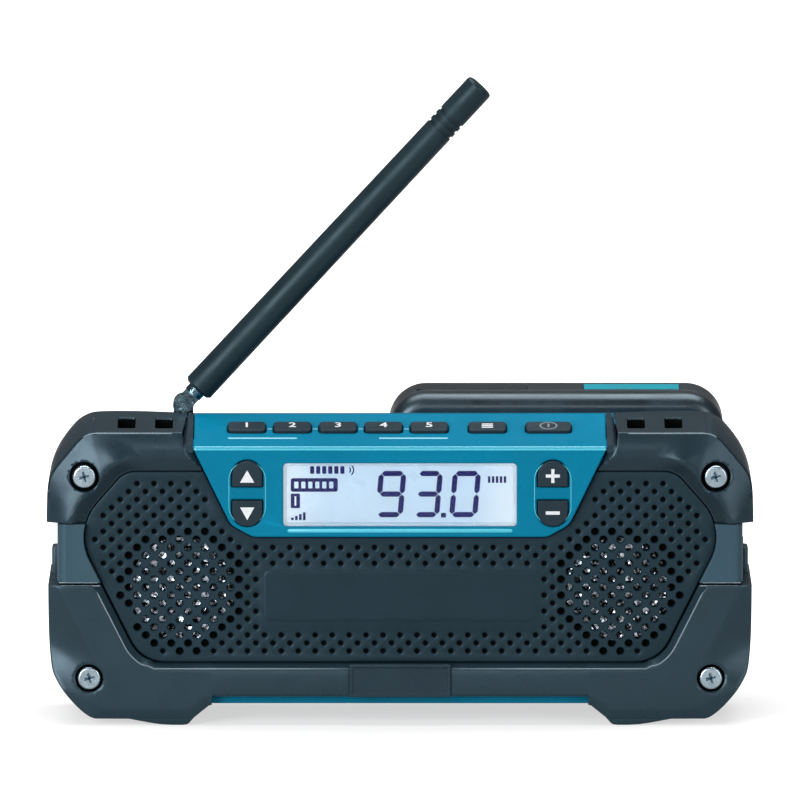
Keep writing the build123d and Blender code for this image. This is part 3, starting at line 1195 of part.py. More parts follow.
frame_front = CORE_INSIDE + GASKET_THICKNESS
frame_back = frame_front + SPEAKER_FLANGE + BASKET_DEPTH
cone_edge = frame_front + 0.2
basket_lip = SPEAKER_OPENING - 1.4
frame_profile = [
    (basket_lip, frame_front + SPEAKER_FLANGE / 2),
    (basket_lip, frame_front),
    (SPEAKER_RADIUS, frame_front),
    (SPEAKER_RADIUS, frame_front + SPEAKER_FLANGE),
    (SPEAKER_OPENING - 1.0, frame_front + SPEAKER_FLANGE),
    (MAGNET_RADIUS, frame_back),
    (NECK_RADIUS, frame_back),
    (NECK_RADIUS, frame_back - 1.0),
    (MAGNET_RADIUS - 1.0, frame_back - 1.0),
    (SPEAKER_OPENING - 2.4, frame_front + SPEAKER_FLANGE + 0.4),
]
cone_profile = [
    (0.0, frame_front + CONE_SINK),
    (0.48 * DUST_CAP_RADIUS, frame_front + CONE_SINK + 0.3),
    (0.88 * DUST_CAP_RADIUS, frame_front + 2 * CONE_SINK),
    (DUST_CAP_RADIUS, frame_front + CONE_THROAT),
    (0.77 * CONE_RIM, frame_front + 0.26 * CONE_THROAT),
    (0.82 * CONE_RIM, cone_edge + 0.2),
    (0.89 * CONE_RIM, cone_edge - 0.4),
    (0.945 * CONE_RIM, cone_edge + 0.1),
    (CONE_RIM, cone_edge + 0.4),
]
cone_back = [(r, d + CONE_THICKNESS) for r, d in reversed(cone_profile)]
for side, hand in ((-1, "left"), (1, "right")):
    save(ring_profile(side, frame_profile), f"{hand}_speaker_frame")
    save(ring_profile(side, cone_profile + cone_back), f"{hand}_speaker_cone")

SPEAKER_AXES = [(-SPEAKER_X, SPEAKER_Z), (SPEAKER_X, SPEAKER_Z)]
with BuildPart() as speaker_magnets:
    with BuildSketch(front_plane(frame_back)):
        with Locations(*SPEAKER_AXES):
            Circle(MAGNET_RADIUS)
    extrude(amount=-MAGNET_DEPTH)
save(speaker_magnets.part, "speaker_magnets")

with BuildPart() as speaker_gaskets:
    with BuildSketch(front_plane(CORE_INSIDE)):
        with Locations((-SPEAKER_X, SPEAKER_Z), (SPEAKER_X, SPEAKER_Z)):
            Circle(SPEAKER_RADIUS)
            Circle(SPEAKER_OPENING, mode=Mode.SUBTRACT)
    extrude(amount=-GASKET_THICKNESS)
save(speaker_gaskets.part, "speaker_gaskets")

clip_places = []
for side in (-1, 1):
    for clip in range(4):
        angle = radians(45 + 90 * clip)
        reach = SPEAKER_RADIUS + SPEAKER_SCREW_REACH
        clip_places.append((side * SPEAKER_X + reach * cos(angle), SPEAKER_Z + reach * sin(angle)))
with BuildPart() as speaker_screws:
    with BuildSketch(front_plane(CORE_INSIDE)):
        with Locations(*clip_places):
            Circle(SMALL_SCREW_RADIUS)
    extrude(amount=-(GASKET_THICKNESS + SPEAKER_FLANGE))
    with BuildSketch(front_plane(frame_front + SPEAKER_FLANGE)):
        with Locations(*clip_places):
            Circle(SPEAKER_CLAMP_RADIUS)
    extrude(amount=-SPEAKER_CLAMP_HEIGHT)
save(speaker_screws.part, "speaker_screws")


# ---- keys -----------------------------------------------------------------------------------
def top_key(key_x, key_width):
    """A key on the slope: cap, retaining flange and the stem that meets its switch."""
    with BuildPart() as key:
        with BuildSketch(SLOPE.offset(-SHELL_WALL - RUN_GAP)):
            with Locations((key_x, TOP_KEY_UP)):
                RectangleRounded(key_width, TOP_KEY_LENGTH, 1.4)
        extrude(amount=SHELL_WALL + RUN_GAP + KEY_PROUD)
        crown = key.faces().filter_by(SLOPE).sort_by(Axis.Z)[-1]
        fillet(crown.edges(), 0.45)
        with BuildSketch(SLOPE.offset(-SHELL_WALL - RUN_GAP)):
            with Locations((key_x, TOP_KEY_UP)):
                Rectangle(key_width + 2 * KEY_LIP, TOP_KEY_LENGTH + 2 * KEY_LIP)
        extrude(amount=-KEY_FLANGE)
        with BuildSketch(SLOPE.offset(-SHELL_WALL - RUN_GAP - KEY_FLANGE)):
            with Locations((key_x, TOP_KEY_UP)):
                Circle(STEM_RADIUS)
        extrude(amount=-TOP_KEY_STEM)
    return key.part


for key_name, key_x, key_width in TOP_KEYS:
    save(top_key(key_x, key_width), key_name)

flange_depth = PANEL_FRONT + SHELL_WALL + RUN_GAP
stem_end = SWITCH_FRONT - PLUNGER_HEIGHT - KEY_TRAVEL - STEM_GAP


def front_key(key_x, key_z, way):
    """A front key with one round end, its flange drawn to the inner side only."""
    inner_x = key_x - (1 if key_x > 0 else -1) * 2.2
    with BuildPart() as key:
        with BuildSketch(front_plane(flange_depth)):
            front_key_sketch(key_x, key_z, way, 0)
        extrude(amount=flange_depth - PANEL_FRONT + KEY_PROUD)
        crown = key.faces().sort_by(Axis.Y)[0]
        fillet(crown.edges(), 0.45)
        with BuildSketch(front_plane(flange_depth)):
            with Locations((inner_x, key_z + way * (FRONT_KEY_STRAIGHT + 0.4) / 2)):
                Rectangle(FRONT_KEY_WIDTH - 2.0, FRONT_KEY_STRAIGHT + 2.6)
        extrude(amount=-KEY_FLANGE)
        with BuildSketch(front_plane(flange_depth + KEY_FLANGE / 2)):
            with Locations((key_x, key_z + way * FRONT_KEY_STRAIGHT)):
                Circle(STEM_RADIUS)
        extrude(amount=-(stem_end - flange_depth - KEY_FLANGE / 2))
    return key.part


for key_name, key_x, key_z, way in FRONT_KEYS:
    save(front_key(key_x, key_z, way), key_name)

# ---- antenna --------------------------------------------------------------------------------
pivot_y = FRONT_Y + PIVOT_DEPTH
with BuildPart() as antenna_bushing:
    with BuildSketch(Plane.XY.offset(GROOVE_FLOOR_Z)):
        with Locations((PIVOT_X, pivot_y)):
            Circle(BUSHING_RADIUS)
    extrude(amount=BUSHING_FLANGE)
    with BuildSketch(Plane.XY.offset(GROOVE_FLOOR_Z)):
        with Locations((PIVOT_X, pivot_y)):
            Circle(BARREL_RADIUS - FIT_GAP / 3)
    extrude(amount=-BARREL_LENGTH)
    with BuildSketch(Plane.XY.offset(GROOVE_FLOOR_Z - SHELL_WALL)):
        with Locations((PIVOT_X, pivot_y)):
            RegularPolygon(NUT_RADIUS, 6)
    extrude(amount=-NUT_HEIGHT)
    with BuildSketch(Plane.XY.offset(GROOVE_FLOOR_Z + BUSHING_FLANGE)):
        with Locations((PIVOT_X, pivot_y)):
            Circle(POST_RADIUS + FIT_GAP)
    extrude(amount=-(BUSHING_FLANGE + BARREL_LENGTH), mode=Mode.SUBTRACT)
save(antenna_bushing.part, "antenna_bushing")

fork_base_z = GROOVE_FLOOR_Z + BUSHING_FLANGE + 0.1
fork_half = BLADE_HALF + 0.15 + CHEEK_THICKNESS
cheek_floor_z = fork_base_z + 1.0
with BuildPart() as antenna_fork:
    with BuildSketch(Plane.XY.offset(fork_base_z)):
        with Locations((PIVOT_X, pivot_y)):
            Circle(FORK_BASE_RADIUS)
    extrude(amount=cheek_floor_z - fork_base_z)
    with BuildSketch(Plane.XY.offset(fork_base_z)):
        with Locations((PIVOT_X, pivot_y)):
            Circle(POST_RADIUS)
    extrude(amount=-(BUSHING_FLANGE + BARREL_LENGTH))
    with BuildSketch(Plane.XZ.offset(-(pivot_y + fork_half))):
        with Locations((PIVOT_X, PIVOT_Z)):
            Circle(KNUCKLE_RADIUS)
        with Locations((PIVOT_X, cheek_floor_z)):
            Rectangle(2 * KNUCKLE_RADIUS - 0.4, PIVOT_Z - cheek_floor_z, align=(Align.CENTER, Align.MIN))
    extrude(amount=2 * fork_half)
    with BuildSketch(Plane.XZ.offset(-(pivot_y + BLADE_HALF + 0.15))):
        with Locations((PIVOT_X, cheek_floor_z)):
            Rectangle(12, 12, align=(Align.CENTER, Align.MIN))
    extrude(amount=2 * (BLADE_HALF + 0.15), mode=Mode.SUBTRACT)
    with BuildSketch(Plane.XZ.offset(-(pivot_y + fork_half))):
        with Locations((PIVOT_X, PIVOT_Z)):
            Circle(PIN_RADIUS)
    extrude(amount=2 * fork_half, mode=Mode.SUBTRACT)
save(antenna_fork.part, "antenna_fork")

with BuildPart() as antenna_pin:
    with BuildSketch(Plane.XZ.offset(-(pivot_y + fork_half))):
        with Locations((PIVOT_X, PIVOT_Z)):
            Circle(PIN_RADIUS - 0.02)
    extrude(amount=2 * fork_half)
    with BuildSketch(Plane.XZ.offset(-(pivot_y - fork_half))):
        with Locations((PIVOT_X, PIVOT_Z)):
            Circle(1.8)
    extrude(amount=0.7)
save(antenna_pin.part, "antenna_pin")

# plane across the rod, with its normal along the rod, at a distance from the pivot
rod_way = (cos(radians(ROD_ANGLE)), 0, sin(radians(ROD_ANGLE)))


def rod_plane(distance):
    origin = (
        PIVOT_X + distance * rod_way[0],
        pivot_y,
        PIVOT_Z + distance * rod_way[2],
    )
    return Plane(origin=origin, x_dir=(0, 1, 0), z_dir=rod_way)


ROD_SIDE = Plane(origin=(PIVOT_X, pivot_y, PIVOT_Z), x_dir=rod_way, z_dir=(0, -1, 0))
core_top = ROD_LENGTH - 4.0
with BuildPart() as antenna_knuckle:
    with BuildSketch(ROD_SIDE.offset(-BLADE_HALF)):
        Circle(KNUCKLE_RADIUS - 0.1)
        with Locations((0, 0)):
            Rectangle(ROD_START, 2 * KNUCKLE_RADIUS - 1.4, align=(Align.MIN, Align.CENTER))
        Circle(PIN_RADIUS + 0.03, mode=Mode.SUBTRACT)
    extrude(amount=2 * BLADE_HALF)
    with BuildSketch(rod_plane(ROD_START - 2.2)):
        Circle(3.0)
    extrude(amount=2.2)
    with BuildSketch(rod_plane(ROD_START)):
        Circle(2.6)
    extrude(amount=5.0)
save(antenna_knuckle.part, "antenna_knuckle")

with BuildPart() as antenna_core:
    with BuildSketch(rod_plane(ROD_START + 5.0)):
        Circle(CORE_ROD_RADIUS)
    extrude(amount=core_top - ROD_START - 5.0)
save(antenna_core.part, "antenna_core")

sleeve_top = ROD_LENGTH - TIP_CAP_LENGTH


def rod_radius(distance):
    share = (distance - ROD_START) / (ROD_LENGTH - ROD_START)
    return ROD_RADIUS + (ROD_TIP_RADIUS - ROD_RADIUS) * share


with BuildPart() as antenna_sleeve:
    with BuildSketch(ROD_SIDE) as sleeve_profile:
        ring_marks = []
        for ring in range(RING_COUNT):
            ring_end = sleeve_top - 1.4 - ring * RING_PITCH
            outside = rod_radius(ring_end)
            ring_marks += [
                (ring_end, outside),
                (ring_end, outside - RING_DEPTH),
                (ring_end - RING_WIDTH, outside - RING_DEPTH),
                (ring_end - RING_WIDTH, outside),
            ]
        Polygon(
            (ROD_START, 2.65),
            (ROD_START, ROD_RADIUS - 0.8),
            (ROD_START + 0.8, ROD_RADIUS),
            *reversed(ring_marks),
            (sleeve_top, rod_radius(sleeve_top)),
            (sleeve_top, CORE_ROD_RADIUS),
            (ROD_START + 5.0, CORE_ROD_RADIUS),
            (ROD_START + 5.0, 2.65),
        )
    revolve(axis=Axis((PIVOT_X, pivot_y, PIVOT_Z), rod_way))
save(antenna_sleeve.part, "antenna_sleeve")

with BuildPart() as antenna_tip:
    with BuildSketch(ROD_SIDE):
        Polygon(
            (sleeve_top, CORE_ROD_RADIUS),
            (sleeve_top, rod_radius(sleeve_top)),
            (ROD_LENGTH - 1.0, ROD_TIP_RADIUS),
            (ROD_LENGTH - 0.3, ROD_TIP_RADIUS - 0.35),
            (ROD_LENGTH, ROD_TIP_RADIUS - 1.2),
            (ROD_LENGTH, 0),
            (core_top, 0),
            (core_top, CORE_ROD_RADIUS),
        )
    revolve(axis=Axis((PIVOT_X, pivot_y, PIVOT_Z), rod_way))
save(antenna_tip.part, "antenna_tip")

# ---- battery pack ---------------------------------------------------------------------------
PACK_X = (PACK_LEFT + PACK_RIGHT) / 2
PACK_Z = (PACK_BOTTOM_Z + PACK_TOP_Z) / 2
PACK_HEIGHT = PACK_TOP_Z - PACK_BOTTOM_Z
HEAD_Z = (HEAD_BOTTOM_Z + HEAD_TOP_Z) / 2
CELL_DEPTH = (PACK_FRONT_DEPTH + PACK_BACK_DEPTH) / 2 + CELL_SETBACK
pack_room = PACK_BACK_DEPTH - PACK_WALL - PACK_FRONT_DEPTH - PACK_SHOULDER
CELL_RADIUS = (pack_room - CELL_ROOM) / 2
CELL_PITCH = 2 * CELL_RADIUS + CELL_GAP
CELL_COUNT = floor((PACK_HEIGHT - 2 * PACK_WALL) / CELL_PITCH)
LATCH_X = HEAD_RIGHT - LATCH_WIDTH
LATCH_SLOT_FRONT = PACK_FRONT_DEPTH + PACK_SHOULDER
LATCH_SLOT_BACK = PACK_SPLIT_DEPTH - 0.8
LATCH_BUTTON_FRONT = LATCH_SLOT_FRONT + RUN_GAP + LATCH_TRAVEL
LATCH_BUTTON_BACK = LATCH_SLOT_BACK - RUN_GAP
CELL_LEFT = PACK_LEFT + PACK_SCREW_INSET_X + PACK_BOSS_RADIUS + 2 * RUN_GAP
CELL_PLACES = [
    (FRONT_Y + CELL_DEPTH, PACK_Z + (i - (CELL_COUNT - 1) / 2) * CELL_PITCH)
    for i in range(CELL_COUNT)
]
PLATES = [
    ("battery_grip", GRIP_LEFT, GRIP_LENGTH),
    ("battery_label", LABEL_RIGHT - LABEL_LENGTH, LABEL_LENGTH),
]
PACK_SCREWS = [
    (x, z)
    for x in (PACK_LEFT + PACK_SCREW_INSET_X, PACK_RIGHT - PACK_SCREW_INSET_X)
    for z in (PACK_BOTTOM_Z + PACK_SCREW_INSET_Z, PACK_TOP_Z - PACK_SCREW_INSET_Z)
]
slot_places = [(0, HEAD_Z + (i - 1) * BLADE_PITCH) for i in range(3)]

with BuildPart() as battery_case_head:
    with BuildSketch(front_plane(PACK_FRONT_DEPTH)):
        with Locations((PACK_X, PACK_Z)):
            RectangleRounded(PACK_WIDTH, PACK_HEIGHT, PACK_CORNER)
    extrude(amount=-(PACK_SPLIT_DEPTH - PACK_FRONT_DEPTH))
    fillet(battery_case_head.faces().sort_by(Axis.Y)[0].edges(), PACK_FRONT_EDGE)
    with BuildSketch(front_plane(HEAD_FRONT_DEPTH)):
        with Locations((HEAD_LEFT, HEAD_Z)):
            Rectangle(
                HEAD_RIGHT - HEAD_LEFT, HEAD_TOP_Z - HEAD_BOTTOM_Z, align=(Align.MIN, Align.CENTER)
            )
    extrude(amount=-(PACK_FRONT_DEPTH - HEAD_FRONT_DEPTH + PACK_EDGE))
    # grooves that run on the bay's rails
    with BuildSketch(front_plane(RAIL_DEPTH)):
        for groove_z, side in ((HEAD_BOTTOM_Z, Align.MIN), (HEAD_TOP_Z, Align.MAX)):
            with Locations((HEAD_LEFT, groove_z)):
                Rectangle(HEAD_RIGHT - HEAD_LEFT, RAIL_REACH, align=(Align.MIN, side))
    extrude(amount=-RAIL_WIDTH, mode=Mode.SUBTRACT)
    # hollow for the cells
    with BuildSketch(front_plane(PACK_FRONT_DEPTH + PACK_SHOULDER)):
        with Locations((PACK_X, PACK_Z)):
            RectangleRounded(
                PACK_WIDTH - 2 * PACK_WALL, PACK_HEIGHT - 2 * PACK_WALL, PACK_CORNER - PACK_WALL
            )
    extrude(amount=-(PACK_SPLIT_DEPTH - PACK_FRONT_DEPTH), mode=Mode.SUBTRACT)
    # contact slots in the left end of the head
    with BuildSketch(front_plane(RAIL_DEPTH - 1.2)):
        for _, slot_z in slot_places:
            with Locations((HEAD_LEFT, slot_z)):
                Rectangle(BLADE_LENGTH + 2, BLADE_HEIGHT + 1.2, align=(Align.MIN, Align.CENTER))
    extrude(amount=-4.2, mode=Mode.SUBTRACT)
    # channel for the latch: its tooth, its arm and its button
    with BuildSketch(front_plane(HEAD_FRONT_DEPTH)):
        with Locations((LATCH_X, HEAD_Z)):
            Rectangle(LATCH_TOOTH + 2 * RUN_GAP, LATCH_HEIGHT + 2 * RUN_GAP)
    extrude(amount=-(PACK_FRONT_DEPTH + PACK_SHOULDER - HEAD_FRONT_DEPTH), mode=Mode.SUBTRACT)
    with BuildSketch(front_plane(LATCH_SLOT_FRONT)):
        with Locations((PACK_RIGHT + 1, HEAD_Z)):
            Rectangle(PACK_WALL + 2, LATCH_HEIGHT + 2 * RUN_GAP, align=(Align.MAX, Align.CENTER))
    extrude(amount=-(LATCH_SLOT_BACK - LATCH_SLOT_FRONT), mode=Mode.SUBTRACT)
save(battery_case_head.part, "battery_case_head")

with BuildPart() as battery_case_base:
    with BuildSketch(front_plane(PACK_SPLIT_DEPTH + FIT_GAP)):
        with Locations((PACK_X, PACK_Z)):
            RectangleRounded(PACK_WIDTH, PACK_HEIGHT, PACK_CORNER)
    extrude(amount=-(PACK_BACK_DEPTH - PACK_SPLIT_DEPTH - FIT_GAP))
    fillet(battery_case_base.faces().sort_by(Axis.Y)[-1].edges(), PACK_EDGE)
    with BuildSketch(front_plane(PACK_SPLIT_DEPTH)):
        with Locations((PACK_X, PACK_Z)):
            RectangleRounded(
                PACK_WIDTH - 2 * PACK_WALL, PACK_HEIGHT - 2 * PACK_WALL, PACK_CORNER - PACK_WALL
            )
    extrude(amount=-(PACK_BACK_DEPTH - PACK_SPLIT_DEPTH - PACK_WALL), mode=Mode.SUBTRACT)
    # screw bosses
    with BuildSketch(front_plane(PACK_SPLIT_DEPTH + FIT_GAP)):
        with Locations(*PACK_SCREWS):
            Circle(PACK_BOSS_RADIUS)
    extrude(amount=-(PACK_BACK_DEPTH - PACK_SPLIT_DEPTH - 1.0))
    with BuildSketch(front_plane(PACK_BACK_DEPTH)):
        with Locations(*PACK_SCREWS):
            Circle(SMALL_HEAD_RADIUS + FIT_GAP)
    extrude(amount=3.0, mode=Mode.SUBTRACT)
    with BuildSketch(front_plane(PACK_BACK_DEPTH)):
        with Locations(*PACK_SCREWS):
            Circle(SMALL_SCREW_RADIUS)
    extrude(amount=PACK_BACK_DEPTH - PACK_SPLIT_DEPTH, mode=Mode.SUBTRACT)
    # seats for the two plates on the upper side
    with BuildSketch(Plane.XY.offset(PACK_TOP_Z)):
        for _, left, length in PLATES:
            with Locations((left, FRONT_Y + PACK_SPLIT_DEPTH + 2)):
                Rectangle(length, LABEL_WIDTH, align=(Align.MIN, Align.MIN))
    extrude(amount=-LABEL_THICKNESS, mode=Mode.SUBTRACT)
save(battery_case_base.part, "battery_case_base")

for plate_name, left, length in PLATES:
    with BuildPart() as plate:
        with BuildSketch(Plane.XY.offset(PACK_TOP_Z - LABEL_THICKNESS)):
            with Locations((left + FIT_GAP, FRONT_Y + PACK_SPLIT_DEPTH + 2 + FIT_GAP)):
                Rectangle(
                    length - 2 * FIT_GAP,
                    LABEL_WIDTH - 2 * FIT_GAP,
                    align=(Align.MIN, Align.MIN),
                )
        extrude(amount=LABEL_THICKNESS)
    save(plate.part, plate_name)

with BuildPart() as battery_cells:
    with BuildSketch(Plane.YZ.offset(CELL_LEFT)):
        with Locations(*CELL_PLACES):
            Circle(CELL_RADIUS)
    extrude(amount=CELL_LENGTH)
save(battery_cells.part, "battery_cells")

pack_screw_plane = Plane(
    origin=at(0, PACK_BACK_DEPTH - PACK_SCREW_SINK, 0), x_dir=(-1, 0, 0), z_dir=(0, 1, 0)
)
save(
    screw_set(
        [(-x, z) for x, z in PACK_SCREWS],
        pack_screw_plane,
        SMALL_HEAD_RADIUS,
        PACK_HEAD_HEIGHT,
        SMALL_SCREW_RADIUS,
        PACK_SCREW_LENGTH,
        cross=False,
    ),
    "battery_screws",
)

block_right = HEAD_LEFT - RUN_GAP
block_back = BODY_DEPTH - BLOCK_FRONT_RISE
blade_depth = RAIL_DEPTH + 0.5
with BuildPart() as battery_terminal_block:
    with BuildSketch(front_plane(BAY_FLOOR)):
        with Locations((BAY_LEFT, BAY_Z)):
            Rectangle(
                block_right - BAY_LEFT, BAY_TOP_Z - BAY_BOTTOM_Z, align=(Align.MIN, Align.CENTER)
            )
    extrude(amount=-(block_back - BAY_FLOOR))
save(battery_terminal_block.part, "battery_terminal_block")

with BuildPart() as terminal_blades:
    for _, slot_z in slot_places:
        with BuildSketch(front_plane(blade_depth)):
            with Locations((block_right, slot_z)):
                Rectangle(BLADE_LENGTH, BLADE_HEIGHT, align=(Align.MIN, Align.CENTER))
        extrude(amount=-BLADE_THICKNESS)
save(terminal_blades.part, "terminal_blades")

with BuildPart() as battery_contacts:
    for _, slot_z in slot_places:
        with BuildSketch(front_plane(blade_depth + BLADE_THICKNESS + 0.15)):
            with Locations((HEAD_LEFT + 2.0, slot_z)):
                Rectangle(BLADE_LENGTH - 1.0, BLADE_HEIGHT, align=(Align.MIN, Align.CENTER))
        extrude(amount=-0.6)
save(battery_contacts.part, "battery_contacts")

with BuildPart() as battery_latch:
    with BuildSketch(front_plane(HEAD_FRONT_DEPTH)):
        with Locations((LATCH_X, HEAD_Z)):
            Rectangle(LATCH_TOOTH, LATCH_HEIGHT)
    extrude(amount=-(LATCH_BUTTON_FRONT + LATCH_ARM - HEAD_FRONT_DEPTH))
    with BuildSketch(front_plane(LATCH_BUTTON_FRONT)):
        with Locations((LATCH_X, HEAD_Z)):
            Rectangle(PACK_RIGHT - LATCH_X, LATCH_HEIGHT, align=(Align.MIN, Align.CENTER))
    extrude(amount=-LATCH_ARM)
    # button that stands a little out of the pack's end
    with BuildSketch(front_plane(LATCH_BUTTON_FRONT)):
        with Locations((PACK_RIGHT + LATCH_BUTTON_PROUD, HEAD_Z)):
            Rectangle(PACK_WALL + LATCH_BUTTON_PROUD, LATCH_HEIGHT, align=(Align.MAX, Align.CENTER))
    extrude(amount=-(LATCH_BUTTON_BACK - LATCH_BUTTON_FRONT))
save(battery_latch.part, "battery_latch")

# ---- audio socket and its cover -------------------------------------------------------------
jack_face_x = side_outer_x - COVER_THICKNESS - FIT_GAP
with BuildPart() as aux_jack:
    with BuildSketch(Plane.YZ.offset(jack_face_x)):
        with Locations((cover_y, JACK_Z)):
            Circle(JACK_BARREL_RADIUS)
    extrude(amount=-(jack_face_x - CORE_HALF + SHELL_WALL))
    with BuildSketch(Plane.YZ.offset(CORE_HALF - SHELL_WALL)):
        with Locations((cover_y, JACK_Z)):
            Rectangle(JACK_BODY, JACK_BODY)
    extrude(amount=-JACK_LENGTH)
    with BuildSketch(Plane.YZ.offset(jack_face_x)):
        with Locations((cover_y, JACK_Z)):
            Circle(JACK_BORE_RADIUS)
    extrude(amount=-JACK_LENGTH, mode=Mode.SUBTRACT)
save(aux_jack.part, "aux_jack")

with BuildPart() as jack_cover:
    with BuildSketch(Plane.YZ.offset(side_outer_x)):
        with Locations((cover_y, JACK_Z)):
            RectangleRounded(COVER_WIDTH, COVER_HEIGHT, 1.5)
    extrude(amount=-COVER_THICKNESS)
    with BuildSketch(Plane.YZ.offset(side_outer_x)):
        with Locations((cover_y + COVER_WIDTH / 2 - 2.0, JACK_Z)):
            SlotOverall(6.0, 1.6, rotation=90)
    extrude(amount=0.5)
save(jack_cover.part, "jack_cover")
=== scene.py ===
"""Looks of the jobsite radio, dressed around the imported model."""

import math
import random

import bmesh
import bpy
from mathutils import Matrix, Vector
from mathutils.geometry import delaunay_2d_cdt


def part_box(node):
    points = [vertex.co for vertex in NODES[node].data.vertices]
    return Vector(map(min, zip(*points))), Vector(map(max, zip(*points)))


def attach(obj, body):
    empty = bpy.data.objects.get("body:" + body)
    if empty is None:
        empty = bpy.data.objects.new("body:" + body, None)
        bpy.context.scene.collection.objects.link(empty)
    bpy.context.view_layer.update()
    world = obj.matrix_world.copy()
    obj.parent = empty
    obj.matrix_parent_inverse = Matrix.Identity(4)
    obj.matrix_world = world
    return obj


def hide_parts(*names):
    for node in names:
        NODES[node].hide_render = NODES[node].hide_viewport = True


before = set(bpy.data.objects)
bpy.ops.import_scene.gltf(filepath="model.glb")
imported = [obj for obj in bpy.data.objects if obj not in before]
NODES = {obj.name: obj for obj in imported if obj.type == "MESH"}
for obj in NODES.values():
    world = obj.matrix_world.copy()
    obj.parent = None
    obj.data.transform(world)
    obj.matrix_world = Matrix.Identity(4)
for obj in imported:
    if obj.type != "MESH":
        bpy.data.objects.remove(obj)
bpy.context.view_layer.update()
MM = 0.001
FRONT_Y = -38.35  # depths below are counted backwards from this plane


def at(x, depth, z):
    """A point in metres, from across, depth and height in millimetres."""
    return Vector((x, FRONT_Y + depth, z)) * MM


# ---- materials ------------------------------------------------------------------------------
def srgb(r, g, b):
    """Linear colour of an 8-bit screen colour."""
    out = []
    for v in (r, g, b):
        v /= 255
        out.append(v / 12.92 if v <= 0.04045 else ((v + 0.055) / 1.055) ** 2.4)
    return (*out, 1.0)


def shaded(color, k):
    return (*(min(1.0, c * k) for c in color[:3]), 1.0)


class Tree:
    """Short calls for building the node tree of a material or world."""

    def __init__(self, owner):
        owner.use_nodes = True
        self.tree = owner.node_tree

    def feed(self, socket, value):
        """Link a socket to the value if that is one too, or else set it."""
        if isinstance(value, bpy.types.NodeSocket):
            self.tree.links.new(value, socket)
        else:
            socket.default_value = value

    def add(self, kind, **values):
        node = self.tree.nodes.new(kind)
        for key, value in values.items():
            if key in node.inputs:
                self.feed(node.inputs[key], value)
            else:
                setattr(node, key, value)
        return node

    def calc(self, operation, *values, clamp=False):
        """Result of a maths node."""
        node = self.add("ShaderNodeMath", operation=operation, use_clamp=clamp)
        for socket, value in zip(node.inputs, values):
            self.feed(socket, value)
        return node.outputs[0]


class Nodes(Tree):
    """The node tree of a new material."""

    def __init__(self, name):
        self.mat = bpy.data.materials.new(name)
        super().__init__(self.mat)
        self.shader = self.tree.nodes["Principled BSDF"]
        self.coords = self.add("ShaderNodeTexCoord").outputs["Object"]

    def noise(self, scale, detail, rough=0.55, seed=0.0):
        """Noise over the object in metres; a scale of 1000 has features near a millimetre."""
        coords = self.coords
        if seed:
            shift = (seed, seed * 0.7, seed * 1.3)
            coords = self.add("ShaderNodeMapping", Vector=coords, Location=shift).outputs["Vector"]
        values = {"Vector": coords, "Scale": scale, "Detail": detail, "Roughness": rough}
        return self.add("ShaderNodeTexNoise", **values).outputs["Fac"]

    def ramp(self, fac, low, high, start=0.35, end=0.65):
        """Values from low to high as fac goes from start to end."""
        ends = {"From Min": start, "From Max": end, "To Min": low, "To Max": high}
        return self.add("ShaderNodeMapRange", Value=fac, **ends).outputs["Result"]

    def mix(self, fac, a, b):
        """Colour a where fac is 0 and b where it is 1."""
        node = self.add("ShaderNodeMix", data_type="RGBA")
        for socket, value in zip([s for s in node.inputs if s.enabled], (fac, a, b)):
            self.feed(socket, value)
        return next(s for s in node.outputs if s.enabled)

    def bump(self, height, strength, distance, below=None):
        node = self.add("ShaderNodeBump", Height=height, Strength=strength, Distance=distance)
        if below is not None:
            self.feed(node.inputs["Normal"], below)
        return node.outputs["Normal"]

    def rubbed_and_highlit_edges(self, color, tint, amount):
        """Colour rubbed towards tint along raised edges: wear, and on the battery grip plates a
        painted highlight.
        """
        pointed = self.add("ShaderNodeNewGeometry").outputs["Pointiness"]
        return self.mix(self.ramp(pointed, 0.0, amount, 0.52, 0.62), color, tint)

    def surface(self, values):
        """Set or link sockets of the shader, and give back the material."""
        for key, value in values.items():
            self.feed(self.shader.inputs[key], value)
        return self.mat


def moulded(
    name, color, rough, grain, relief, cloud, edge, specular,
    coat=0.0, coat_rough=0.2, seed=0.0, round_edge=0.0, tint=(1, 1, 1, 1),
):
    """Moulded plastic or rubber: cloudy colour, a fine spark-eroded grain, rubbed edges (on the
    battery grip plates a painted highlight).
    """
    n = Nodes(name)
    drift = n.noise(38.0, 4.0, 0.6, seed)
    tone = n.mix(n.ramp(drift, 0.0, 1.0), shaded(color, 1 - cloud), shaded(color, 1 + cloud))
    fleck = n.noise(2600.0, 2.0, 0.5, seed + 1)
    tone = n.mix(n.ramp(fleck, 0.0, 0.22, 0.55, 0.75), tone, shaded(color, 1.6))
    smear = n.noise(95.0, 3.0, 0.6, seed + 2)
    pores = n.noise(grain, 4.0, 0.6, seed + 3)
    below = None
    if round_edge:
        below = n.add("ShaderNodeBevel", Radius=round_edge * MM, samples=6).outputs["Normal"]
    return n.surface({
        "Base Color": n.rubbed_and_highlit_edges(tone, shaded(color, 2.3), edge),
        "Roughness": n.ramp(smear, rough - 0.05, rough + 0.07),
        "Normal": n.bump(pores, relief, 0.00012, below),
        "Specular IOR Level": specular,
        "Specular Tint": tint,
        "Coat Weight": coat,
        "Coat Roughness": coat_rough,
    })


def metal(name, color, rough, scale=900.0, relief=0.06, dull=0.25, deep=0.00008):
    """Plated metal with a fine grain and dull patches; on the gauze the deep dull patches are
    painted shade.
    """
    n = Nodes(name)
    patch = n.noise(220.0, 4.0, 0.6)
    grain = n.noise(scale, 3.0, 0.6)
    return n.surface({
        "Base Color": n.mix(n.ramp(patch, 0.0, 1.0), shaded(color, 1 - dull), color),
        "Roughness": n.ramp(grain, rough - 0.08, rough + 0.1),
        "Normal": n.bump(grain, relief, deep),
        "Metallic": 1.0,
    })


